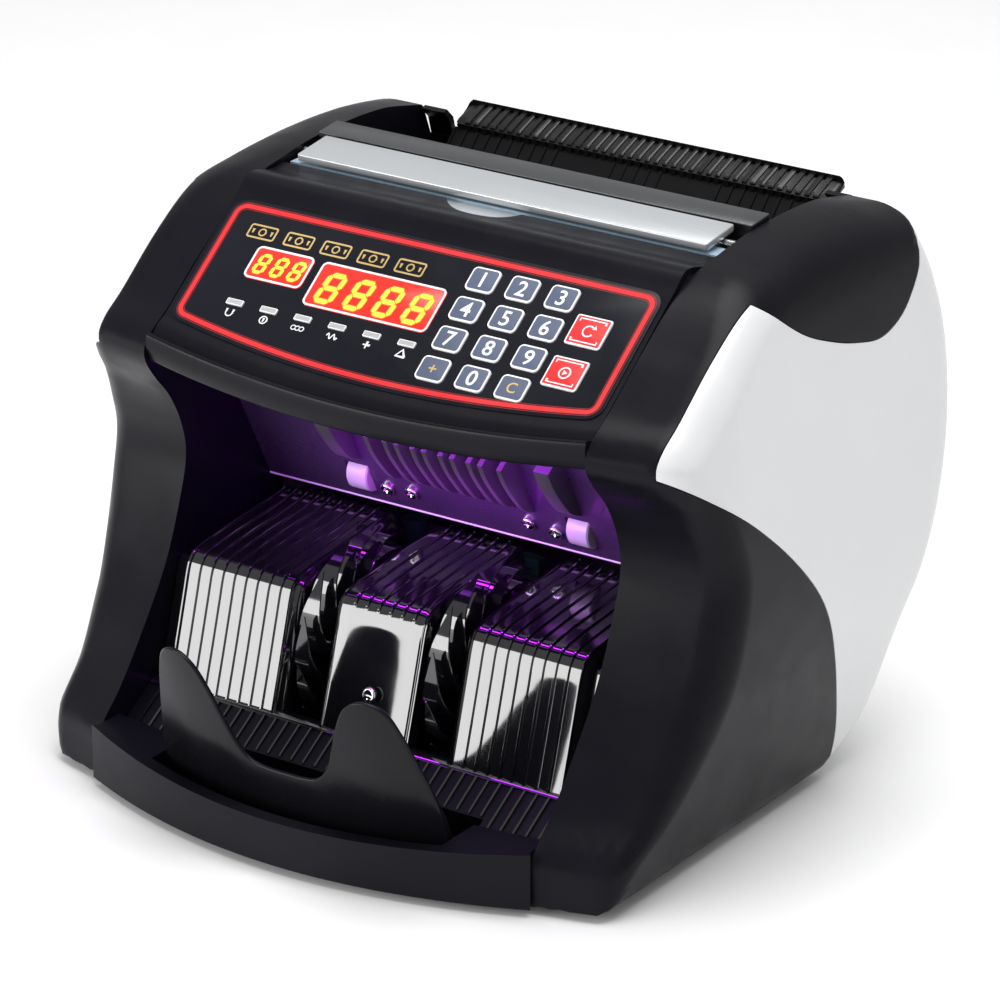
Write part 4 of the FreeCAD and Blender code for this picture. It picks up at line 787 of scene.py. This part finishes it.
def lettering(text, height, centre, low, high):
    """A raised digit or sign of the built-in typeface, scaled to a height."""
    curve = bpy.data.curves.new("sign", "FONT")
    curve.body = text
    curve.resolution_u = 6
    curve.extrude = 0.05
    curve.offset = 0.012
    holder = linked("sign", curve)
    bpy.context.view_layer.update()
    mesh = bpy.data.meshes.new_from_object(
        holder.evaluated_get(bpy.context.evaluated_depsgraph_get()))
    bpy.data.objects.remove(holder)
    bpy.data.curves.remove(curve)
    shape = bmesh.new()
    shape.from_mesh(mesh)
    bpy.data.meshes.remove(mesh)
    bmesh.ops.remove_doubles(shape, verts=shape.verts, dist=1e-5)
    lows = [min(v.co[axis] for v in shape.verts) for axis in range(3)]
    highs = [max(v.co[axis] for v in shape.verts) for axis in range(3)]
    scale = height / (highs[1] - lows[1])
    for vert in shape.verts:
        vert.co.x = (vert.co.x - (lows[0] + highs[0]) / 2) * scale + centre[0]
        vert.co.y = (vert.co.y - (lows[1] + highs[1]) / 2) * scale + centre[1]
        vert.co.z = low if vert.co.z < (lows[2] + highs[2]) / 2 else high
    return shape


def build_keys():
    """Twelve slate-blue keys and two red ones, with frames and signs."""
    signs = {"key_add": "+", "key_clear": "C"}
    for name, (x, v, (w, l)) in KEYS.items():
        big = name in ("key_reset", "key_select")
        frame_width, corner = (0.7, 1.1) if big else (0.75, 2.1)
        outer = centred_box(x, v, w, l, corner)
        inner = shifted(outer, frame_width)
        parts = [(slab(outer, KEY_BOTTOM, KEY_TOP - 0.12, 0.35, 3), 1),
                 slab(inner, KEY_TOP - 0.4, KEY_TOP, 0.2, 3)]
        if big:
            parts += big_key_print(x, v, w, l, name)
        else:
            sign = signs.get(name, name[-1])
            gold = name in signs
            tall = 3.4 if sign == "+" else 4.6 if gold else 6.6
            parts.append((lettering(sign, tall, (x, v), KEY_TOP - 0.03, KEY_TOP + 0.04),
                          2 if gold else 1))
        face = KEY_RED if big else KEY_BLUE
        panel_piece(f"{name}_cap", join(parts), f"{name}_cap", [face, PRINT_WHITE, PRINT_GOLD],
                    [name])


def big_key_print(x, v, w, l, name):
    """White brackets above and below a plain sign on a red key."""
    low, high = KEY_TOP - 0.03, KEY_TOP + 0.04
    reach, drop = w / 2 - 2.2, l / 2 - 1.75
    parts = []
    for side in (-1, 1):
        edge = [(x - reach, v + side * (drop - 1.2)), (x - reach, v + side * drop),
                (x + reach, v + side * drop), (x + reach, v + side * (drop - 1.2))]
        parts.append((stroke(edge[::side], 0.5, low, high), 1))
    if name == "key_reset":
        start, end = 40, 330
        head = [(x + 1.0, v + 1.2), (x + 3.0, v + 1.2), (x + 2.1, v + 3.0)]
    else:
        start, end = 0, 360
        head = [(x - 0.8, v - 1.1), (x + 1.2, v), (x - 0.8, v + 1.1)]
    return parts + [(circle_stroke((x, v), 2.3, 0.6, low, high, start, end), 1),
                    (slab(head, low, high), 1)]


def segment_digit(x, v, width, height, line, slant):
    """The seven bars of a digit centred at (x, v)."""
    bars = []
    w, h, gap = width / 2 - line / 2, height / 2 - line / 2, line * 0.12

    def bar(a, b):
        a, b = Vector(a), Vector(b)
        along = (b - a).normalized()
        side = Vector((-along.y, along.x)) * line / 2
        a, b = a + along * gap, b - along * gap
        points = [a, a + along * line / 2 + side, b - along * line / 2 + side, b,
                  b - along * line / 2 - side, a + along * line / 2 - side]
        bars.append([(x + p.x + slant * p.y, v + p.y) for p in points])

    for y in (-h, 0, h):
        bar((-w, y), (w, y))
    for side in (-w, w):
        bar((side, -h), (side, 0))
        bar((side, 0), (side, h))
    return bars


def build_displays():
    """Two red windows with lit seven-bar digits, white frames, and the lamp bars."""
    sizes = {"small": (3, 5.4, 9.3, 1.35, 8.1), "large": (4, 8.7, 14.2, 2.0, 13.4)}
    for name, (x0, x1, v0, v1) in WINDOWS.items():
        count, width, height, line, pitch = sizes[name]
        outer = rounded_box(x0, x1, v0, v1, 2.4)
        inner = shifted(outer, 0.8)
        parts = [slab(outer, -1.4, 0.42, 0.1, 2), (ring(outer, inner, 0.3, FACE + 0.14), 1)]
        middle = ((x0 + x1) / 2 + 0.2, (v0 + v1) / 2 - (0.9 if name == "large" else 0.3))
        for index in range(count):
            x = middle[0] + (index - (count - 1) / 2) * pitch
            for outline in segment_digit(x, middle[1], width, height, line, 0.14):
                wide = shifted(outline, line * 0.22)
                parts.append((slab(wide, 0.40, 0.445), 2))
                parts.append((slab(outline, 0.43, 0.47), 3))
        stands = ["display_windows"] if name == "large" else []
        panel_piece(f"display_{name}", join(parts), "housing",
                    [DISPLAY_RED, PRINT_WHITE, DIGIT_GLOW, DIGIT_ORANGE], stands)
    parts = []
    for x in LAMP_X:
        box = centred_box(x, LAMP_V, *LAMP_SIZE, 0.35)
        parts += [(slab(box, -1.4, 0.80, 0.15, 2), 1), slab(shifted(box, 0.42), 0.5, 0.86, 0.1, 2)]
    panel_piece("indicator_bars", join(parts), "housing", [LENS_GREY, PRINT_WHITE],
                ["indicator_lenses"])


build_cover()
build_overlay()
build_keys()
build_displays()


# ---------------------------------------------------------------- stacker plates
STACK_FACE = [(-72.0, 32.4), (-66.6, 50.0), (-61.6, 67.0), (-58.6, 77.0), (-57.2, 79.6),
              (-55.0, 81.6), (-51.5, 83.0), (-44.0, 84.2), (-18.0, 86.6), (7.0, 88.5)]
SLOT = (21.7, 38.3)
RIB_PITCH = 5.5


def rib_places(low, high):
    """Places of the ribs between two x values, centred in that stretch."""
    count = int((high - low - 3.0) / RIB_PITCH)
    start = (low + high - count * RIB_PITCH) / 2
    return [start + index * RIB_PITCH for index in range(count + 1)]


def plate_stations(x0, x1, ribs, fall):
    """(x, drop, rib) across a plate: rounded ends and narrow raised ribs."""
    out = []
    for k in range(7):
        t = math.pi / 2 * k / 6
        out.append((x0 + fall * (1 - math.cos(t)), fall * (1 - math.sin(t)), 0.0))
        out.append((x1 - fall * (1 - math.cos(t)), fall * (1 - math.sin(t)), 0.0))
    for x in ribs:
        for step, height in ((-0.75, 0.0), (-0.5, 0.7), (-0.3, 1.0), (0.3, 1.0), (0.5, 0.7),
                             (0.75, 0.0)):
            out.append((x + step, 0.0, height))
    return sorted(out)


def plate_mesh(x0, x1, ribs, fall, starts):
    """One glossy plate with a rounded shoulder; starts is where its ribs begin along it."""
    face = spline(STACK_FACE, 6)
    share = np.linspace(0, 1, len(face))
    rise = np.clip((share - starts) / 0.03, 0, 1) if starts > 0 else np.ones(len(face))
    rows = []
    for x, drop, rib in plate_stations(x0, x1, ribs, fall):
        front = shifted(face, -drop, False) + (shifted(face, 0.85, False) - face) * (
            rib * rise)[:, None]
        rear = shifted(face, -drop - 1.6, False)[::-1]
        rows.append([(x, y, z) for y, z in np.vstack([front, rear])])
    return grid(np.array(rows), closed_v=True, caps=True)


def build_stacker():
    """Three ribbed plates, the sheet behind their ends and the bright edge at the foot."""
    left = plate_mesh(-94.5, -SLOT[1], rib_places(-93.0, -SLOT[1] - 2.0), 5.0, 0.0)
    middle = plate_mesh(-SLOT[0], SLOT[0], rib_places(-15.0, SLOT[0] + 1.0), 4.0, 0.42)
    right = plate_mesh(SLOT[1], 94.5, rib_places(SLOT[1] + 2.0, 93.0), 5.0, 0.0)
    face = spline(STACK_FACE, 6)
    sheet = [*shifted(face, -5.2, False), *shifted(face, -6.6, False)[::-1]]
    sheets = [across(sheet, x0, x1) for x0, x1 in ((-BETWEEN, -90.0), (90.0, BETWEEN))]
    foot = across([(-74.3, 31.6), (-71.8, 32.9), (-70.5, 32.9), (-70.5, 31.0), (-74.0, 31.0)],
                  -BETWEEN, BETWEEN)
    parts = [left, middle, right, *sheets, foot]
    for index in range(-17, 18):
        x = index * RIB_PITCH
        rear = (-87.0, 23.2) if abs(x) < 68.0 else (-93.4, 19.4)
        rib = [(-74.3, 31.0), (-74.3, 32.0), (rear[0], rear[1] + 0.9), (rear[0] - 0.6, rear[1])]
        parts.append(across(rib, x - 0.45, x + 0.45, 0.15, 1))
    make("stacker_plates", join(parts), "housing", [GLOSS_BLACK],
         ["stacker_back_plate"], 28)


WHEEL_AT = (-29.0, 53.0)
WHEEL_X, WHEEL_TIP = 30.0, 43.0
FINS, FIN_HALF = 14, 7.0


def fin_line(base):
    """Centre line (y, z) of a stacker fin whose root is at an angle."""
    def polar(radius, angle):
        return (WHEEL_AT[0] + radius * math.cos(angle), WHEEL_AT[1] + radius * math.sin(angle))
    return spline([polar(11.5, base), polar(20.0, base - 0.14), polar(30.0, base - 0.37),
                   polar(38.0, base - 0.72), polar(WHEEL_TIP - 0.3, base - 1.17)], 5)


def build_wheels():
    """Both stacker wheels: a hub and fourteen tapering fins."""
    for name, centre in (("left", -WHEEL_X), ("right", WHEEL_X)):
        parts = []
        for index in range(FINS):
            line = fin_line(2 * math.pi * (index + 0.5) / FINS)
            count = len(line)
            rows = []
            for k, (y, z) in enumerate(line):
                along = line[min(k + 1, count - 1)] - line[max(k - 1, 0)]
                along /= np.linalg.norm(along)
                side = np.array([-along[1], along[0]])
                share = k / (count - 1)
                half = min(FIN_HALF * (1.02 - max((share - 0.45) / 0.55, 0.0) ** 1.6), FIN_HALF)
                thick = 0.75 - 0.4 * share
                flat = half * 0.96
                section = [(half, 0.5), (flat, 1.0), (-flat, 1.0), (-half, 0.5), (-half, -0.5),
                           (-flat, -1.0), (flat, -1.0), (half, -0.5)]
                rows.append([(centre + a, y + side[0] * b * thick, z + side[1] * b * thick)
                             for a, b in section])
            parts.append(grid(np.array(rows), closed_v=True, caps=True))
        hub = [(3.05, -7.0), (3.05, 7.0), (5.6, 7.0), (6.2, 6.4), (12.2, 6.4), (13.0, 5.8),
               (13.0, -5.8), (12.2, -6.4), (6.2, -6.4), (5.6, -7.0)]
        parts.append(turned(hub, along_x(centre, WHEEL_AT), 56))
        make(f"wheel_{name}", join(parts), "stacker", [GLOSS_BLACK],
             [f"stacker_wheel_{name}"], 40)


# ---------------------------------------------------------------- deflector
DEFLECT_LOW, DEFLECT_HIGH = (7.0, 92.5), (-24.0, 152.0)
LEAN = math.atan2(DEFLECT_LOW[0] - DEFLECT_HIGH[0], DEFLECT_HIGH[1] - DEFLECT_LOW[1])
LEANING = Matrix.Translation((0, *DEFLECT_LOW)) @ Matrix.Rotation(LEAN, 4, "X")
DEFLECT_LENGTH = math.dist(DEFLECT_LOW, DEFLECT_HIGH)
PINCH_AT = (5.0, 105.0)
FIN_X = [-31.0, -22.2, -16.8, -9.2, -3.8, 3.8, 9.2, 16.8, 22.2, 31.0]
WIDE_FIN_X = [-51.7, 51.7]
WINDOW_HALF_WIDTH, WINDOW_HALF_HEIGHT = 5.8, 8.4
LUG_X = 63.0


def in_deflector(y, z):
    """(out of the back, up along it) of a side-view point."""
    dy, dz = y - DEFLECT_LOW[0], z - DEFLECT_LOW[1]
    return (dy * math.cos(LEAN) + dz * math.sin(LEAN), -dy * math.sin(LEAN) + dz * math.cos(LEAN))


def guide_fin(x, width, foot_up):
    """A curved guide fin standing on the deflector's face."""
    outer = spline([(0.3, foot_up), (-4.6, foot_up + 6.0), (-7.4, foot_up + 15.0),
                    (-9.2, foot_up + 25.0), (-9.4, foot_up + 33.0)], 6)
    return across([*outer, (0.3, foot_up + 34.0)], x - width / 2, x + width / 2, 0.35, 2)


def build_deflector():
    """The plate, its lower edge painted with a violet glow, guide fins, roller windows and axle
    lugs.
    """
    back, up = in_deflector(*PINCH_AT)
    plate = loose(across(rectangle(0.0, 1.6, 0.0, DEFLECT_LENGTH), -BETWEEN, BETWEEN), "plate")
    window = rectangle(-2.0, 3.0, up - WINDOW_HALF_HEIGHT, up + WINDOW_HALF_HEIGHT)
    cutters = [loose(across(window, x - WINDOW_HALF_WIDTH, x + WINDOW_HALF_WIDTH), "window")
               for x in WIDE_FIN_X]
    parts = [result(plate, *(("DIFFERENCE", cutter) for cutter in cutters))]
    parts += [(guide_fin(x, 2.4, 18.0), 1) for x in FIN_X]
    parts += [(guide_fin(x, 7.0, 23.0), 1) for x in WIDE_FIN_X]
    parts += [across(rectangle(0.5, back + 4.0, up - 4.0, up + 4.0), x - 1.5, x + 1.5, 0.5, 2)
              for x in (-LUG_X, LUG_X)]
    # A thin strip on the lower edge, self-lit violet: painted glow in place of the light it
    # catches.
    edge = across([(-0.05, 0.0), (-0.35, 0.25), (-0.35, 0.75), (-0.05, 1.0)], -BETWEEN, BETWEEN)
    parts.append((edge, 2))
    shape = join(parts)
    bmesh.ops.transform(shape, matrix=LEANING, verts=shape.verts)
    make("deflector", shape, "housing", [DEFLECTOR, FIN_GREY, PAINTED_GLOW_EDGE],
         ["deflector_plate"], 30)
    rollers = []
    for x in WIDE_FIN_X:
        tyre = [(1.75, -5.0), (1.75, 5.0), (6.9, 5.0), (7.5, 4.4), (7.5, -4.4), (6.9, -5.0)]
        rollers.append(turned(tyre, along_x(x, PINCH_AT), 40))
    rollers.append((turned([(0.0, -66.0), (1.4, -66.0), (1.7, -65.7), (1.7, 65.7), (1.4, 66.0),
                            (0.0, 66.0)], along_x(0, PINCH_AT), 24), 1))
    make("pinch_pair", join(rollers), "pinch", [PALE_ROLLER, STEEL],
         ["pinch_rollers"], 40)


# ---------------------------------------------------------------- note catcher and base
CATCH_LEAN = 0.31
CATCH_FOOT = 12.0
CATCH_FRONT, CATCH_CURVE = -114.2, 0.0022
CATCH_THICK = 2.4


def catcher_outline():
    """Front view (x, z) of the catcher: two rounded humps either side of a valley."""
    right = [(0.0, 37.0), (8.5, 37.1), (15.0, 38.4), (20.2, 43.6), (25.2, 55.0), (29.8, 67.0),
             (34.6, 75.4), (40.6, 79.4), (46.8, 79.4), (51.8, 76.0), (55.8, 67.0), (59.4, 55.0),
             (63.2, 41.0), (65.6, 29.0), (66.2, 20.0), (66.2, CATCH_FOOT)]
    curve = [tuple(p) for p in spline(right[:-1], 6)] + [right[-1]]
    return [(-x, z) for x, z in reversed(curve[1:])] + curve


def build_catcher():
    """The note catcher: a curved sheet leaning forward, with a rounded rim."""
    shape = slab(catcher_outline(), 0.0, CATCH_THICK, 1.0, 4, both=True)
    for step in range(-22, 23):
        geometry = list(shape.verts) + list(shape.edges) + list(shape.faces)
        bmesh.ops.bisect_plane(shape, geom=geometry, plane_co=(step * 3.0 + 0.013, 0, 0),
                               plane_no=(1, 0, 0))
    for vert in shape.verts:
        x, z, deep = vert.co
        y = CATCH_FRONT + CATCH_CURVE * x * x - CATCH_LEAN * (z - CATCH_FOOT)
        vert.co = (x, y + deep, z)
    make("catcher", shape, "housing", [CATCHER_BLACK], ["note_catcher"], 50)


build_stacker()
build_wheels()
build_deflector()
build_catcher()


# ---------------------------------------------------------------- gate, hopper and feed tray
GATE_FRONT, GATE_BACK = (19.6, 223.6), (38.9, 226.1)
GATE_THICK, GATE_HALF = 3.2, 94.4
HINGE_AT = (33.0, 220.3)
KNUCKLE_X, KNUCKLE_LONG = (-92.0, 84.0), 8.0
STRIP_HALF = 98.7


def build_gate():
    """The silver gate on its knuckles, the clear strip under it and the guide behind it."""
    section = [GATE_FRONT, GATE_BACK, (GATE_BACK[0], GATE_BACK[1] - GATE_THICK),
               (GATE_FRONT[0] + 0.6, GATE_FRONT[1] - GATE_THICK)]
    parts = [across(section[::-1], -GATE_HALF, GATE_HALF)]
    soften(parts[0], parts[0].edges, 0.7, 3)
    for x in KNUCKLE_X:
        tube = [(1.55, 0.0), (1.55, KNUCKLE_LONG), (2.4, KNUCKLE_LONG), (2.6, KNUCKLE_LONG - 0.2),
                (2.6, 0.2), (2.4, 0.0)]
        web = rectangle(HINGE_AT[0] - 2.4, HINGE_AT[0] + 2.4, 221.9, 222.7)
        parts += [turned(tube, along_x(x, HINGE_AT), 32), across(web, x, x + KNUCKLE_LONG)]
    make("gate", join(parts), "gate", [SILVER], ["feed_gate"])
    bar = across(rectangle(21.0, 29.5, 216.9, 219.3), -STRIP_HALF, STRIP_HALF, 0.3, 2)
    around = arc(SCOOP[:2], SCOOP[2] - 0.5, 180 + 24, 360 - 24, 40)
    tongue = slab([(around[0][0], 21.2)] + around + [(around[-1][0], 21.2)], 216.9, 218.1, 0.3, 2)
    make("strip", join([bar, (tongue, 1)]), "housing", [PALE_BLUE, SILVER],
         ["gate_light_strip"])
    guide = [(19.0, 213.2), (19.0, 216.4), (30.0, 216.4), (31.0, 214.4), (41.9, 214.4),
             (41.9, 225.7), (54.5, 227.0), (54.5, 224.0), (49.0, 222.6), (36.6, 143.0),
             (33.6, 143.0), (44.2, 211.4), (30.0, 211.4), (28.5, 213.2)]
    shape = across(guide, -BETWEEN, BETWEEN)
    soften(shape, shape.edges, 0.5, 2)
    for face in shape.faces:
        face.material_index = int(face.calc_center_median().z > 225.0)
    make("guide", shape, "housing", [HOPPER_BLACK, DARK_STRIP],
         ["hopper_front_guide"])


RAMP_FOOT, RAMP_TOP = (44.0, 133.6), (119.5, 209.1)
TRAY_HALF = 88.6
TRAY_ROLLER_X, NOTCH_HALF = 26.0, 9.5


def build_tray():
    """The feed tray: a ribbed ramp notched for the rollers, and a lip with close ridges."""
    thick = 2.5 / math.sqrt(2.0)
    ramp = [RAMP_FOOT, RAMP_TOP, (RAMP_TOP[0] + thick, RAMP_TOP[1] - thick),
            (RAMP_FOOT[0] + thick, RAMP_FOOT[1] - thick)][::-1]
    low = [(RAMP_FOOT[0] + thick, RAMP_FOOT[1] - thick), (112.3, 198.3), (110.5, 200.1), RAMP_FOOT]
    sheet_part = loose(across(low, -BETWEEN, BETWEEN), "sheet")
    upper = loose(across(ramp, -TRAY_HALF, TRAY_HALF), "upper")
    notch = rectangle(40.0, 72.0, 120.0, 162.0)
    parts = [result(sheet_part, ("UNION", upper),
                    *(("DIFFERENCE", loose(across(notch, x - NOTCH_HALF, x + NOTCH_HALF), "notch"))
                      for x in (-TRAY_ROLLER_X, TRAY_ROLLER_X)))]
    for index in range(-16, 17):
        x = index * RIB_PITCH
        if abs(abs(x) - TRAY_ROLLER_X) > 11.0:
            rib = [(46.0, 135.6), (118.4, 208.0), (118.4, 208.8), (48.0, 138.4)]
            parts.append(across(rib, x - 0.6, x + 0.6, 0.2, 1))
    nose = [tuple(p) for p in spline([(130.3, 216.5), (130.7, 215.6), (130.6, 214.4),
                                      (129.8, 213.4)], 4)]
    lip = [(121.0, 207.6), (119.2, 208.9), (119.2, 211.7), (120.0, 212.4)] + nose
    body = across(lip[::-1], -TRAY_HALF, TRAY_HALF)
    soften(body, [e for e in body.edges
                  if all(abs(abs(v.co.x) - TRAY_HALF) < 1e-4 for v in e.verts)], 2.2, 4)
    parts.append((body, 1))
    for index in range(-20, 21):
        x = index * 4.1
        ridge = [(119.6, 207.4), (118.5, 208.6), (118.5, 212.0), (119.4, 212.9), (130.2, 217.0),
                 (131.2, 215.8), (131.1, 214.2), (130.0, 213.0)]
        parts.append((across(ridge[::-1], x - 1.15, x + 1.15, 0.5, 2), 1))
    make("tray", join(parts), "housing", [HOPPER_BLACK, LIP_BLACK], ["feed_tray"])


build_gate()
build_tray()


# ---------------------------------------------------------------- the rest keep their own shape
KEPT = {
    SATIN_BLACK: ["base_tray"], RUBBER: ["rubber_feet"], BOARD: ["control_board", "main_board"],
    STEEL: ["gate_hinge_pin", "tie_rods", "feed_shaft", "transport_shaft", "stacker_shaft"],
    SHEET_STEEL: ["chassis_left", "chassis_right", "motor_can"], HOPPER_BLACK: ["rear_cover"],
    ROLLER: ["feed_rollers", "transport_rollers", "drive_belts"], BRONZE: ["shaft_bearings"],
    PULLEY: ["motor_pulley", "transport_pulleys", "feed_pulley", "stacker_pulley"],
    UV_TUBE: ["uv_lamp"], IRON: ["motor_rotor", "power_transformer"], CHROME: ["machine_screws"],
    INLET: ["power_inlet", "power_switch", "gap_knob"],
}
ROUNDING = {"base_tray": 1.1, "rear_cover": 0.5, "power_inlet": 0.35, "power_switch": 0.4,
            "gap_knob": 0.35, "rubber_feet": 0.5, "motor_can": 0.4, "power_transformer": 0.4}


def clothe_kept():
    """Materials, and softly rounded edges where they show, for pieces that keep their shape."""
    for material, names in KEPT.items():
        for name in names:
            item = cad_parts[name]
            item.data.materials.clear()
            item.data.materials.append(material)
            if name in ROUNDING:
                step = item.modifiers.new("round", "BEVEL")
                step.width = ROUNDING[name] * MM
                step.segments = 3
                step.limit_method = "ANGLE"
                step.angle_limit = math.radians(SHARP)
                step.harden_normals = True
                item.data.shade_smooth()
                item.data.set_sharp_from_angle(angle=math.radians(SHARP))


clothe_kept()


# ---------------------------------------------------------------- stage, lights and camera
WORLD_STRENGTH = 0.44
FLOOR_HALF, FLOOR_DROP = 6.0, 0.0002
# Name, place, aim and size in metres, power in watts, colour. The violet ones glow inside the
# stacker and are hidden from the camera.
LAMPS = [("card", (-0.98, -1.56, 0.45), (0, -0.06, 0.07), (1.3, 0.8), 24.0, (1, 1, 1)),
         ("top", (0.1, 0.2, 1.8), (0, 0, 0.1), (1.6, 1.2), 32.0, (1, 1, 1)),
         ("right", (1.9, 0.3, 0.9), (0.1, 0, 0.12), (0.8, 1.0), 1.2, (1, 1, 1)),
         ("violet", (0, -0.036, 0.158), (0, -0.006, 0.10), (0.13, 0.008), 0.125,
          (0.42, 0.02, 0.80)),
         ("violet_low", (0, -0.030, 0.112), (0, 0.004, 0.10), (0.11, 0.006), 0.06,
          (0.46, 0.02, 0.80))]


def build_stage():
    """A plain pale floor and soft studio light."""
    shape = bmesh.new()
    bmesh.ops.create_grid(shape, x_segments=4, y_segments=4, size=FLOOR_HALF)
    floor = loose(shape, "floor")
    floor.location.z = -FLOOR_DROP
    pale = surface("floor_pale", (0.93, 0.93, 0.93), 0.6, mottle=0.01, depth=0, rough_swing=0.03)
    floor.data.materials.append(pale)
    world = bpy.data.worlds.new("studio")
    world.use_nodes = True
    backdrop = world.node_tree.nodes["Background"]
    backdrop.inputs["Color"].default_value = (1, 1, 1, 1)
    backdrop.inputs["Strength"].default_value = WORLD_STRENGTH
    bpy.context.scene.world = world
    bpy.context.scene.view_settings.view_transform = "Standard"
    for lamp in LAMPS:
        build_lamp(*lamp)


def build_lamp(name, place, aim, size, power, colour):
    """A rectangular soft light aimed at a point."""
    data = bpy.data.lights.new(name, "AREA")
    data.shape = "RECTANGLE"
    data.size, data.size_y = size
    data.energy = power
    data.color = colour
    made = linked(name, data)
    made.location = place
    made.rotation_euler = (Vector(aim) - Vector(place)).to_track_quat("-Z", "Y").to_euler()
    made.visible_camera = not name.startswith("violet")


CAMERA_AT = (1.05920, -1.52878, 0.86242)
CAMERA_LENS = 187.22
CAMERA_AZIMUTH = math.radians(34.336)
CAMERA_ELEVATION = math.radians(22.131)


def build_camera():
    """The camera, to the right of the front and above it."""
    data = bpy.data.cameras.new("camera")
    data.lens = CAMERA_LENS
    data.sensor_width = 36.0
    data.clip_end = 30.0
    made = linked("camera", data)
    made.location = CAMERA_AT
    made.rotation_euler = (math.pi / 2 - CAMERA_ELEVATION, 0.0, CAMERA_AZIMUTH)
    bpy.context.scene.camera = made


build_stage()
build_camera()
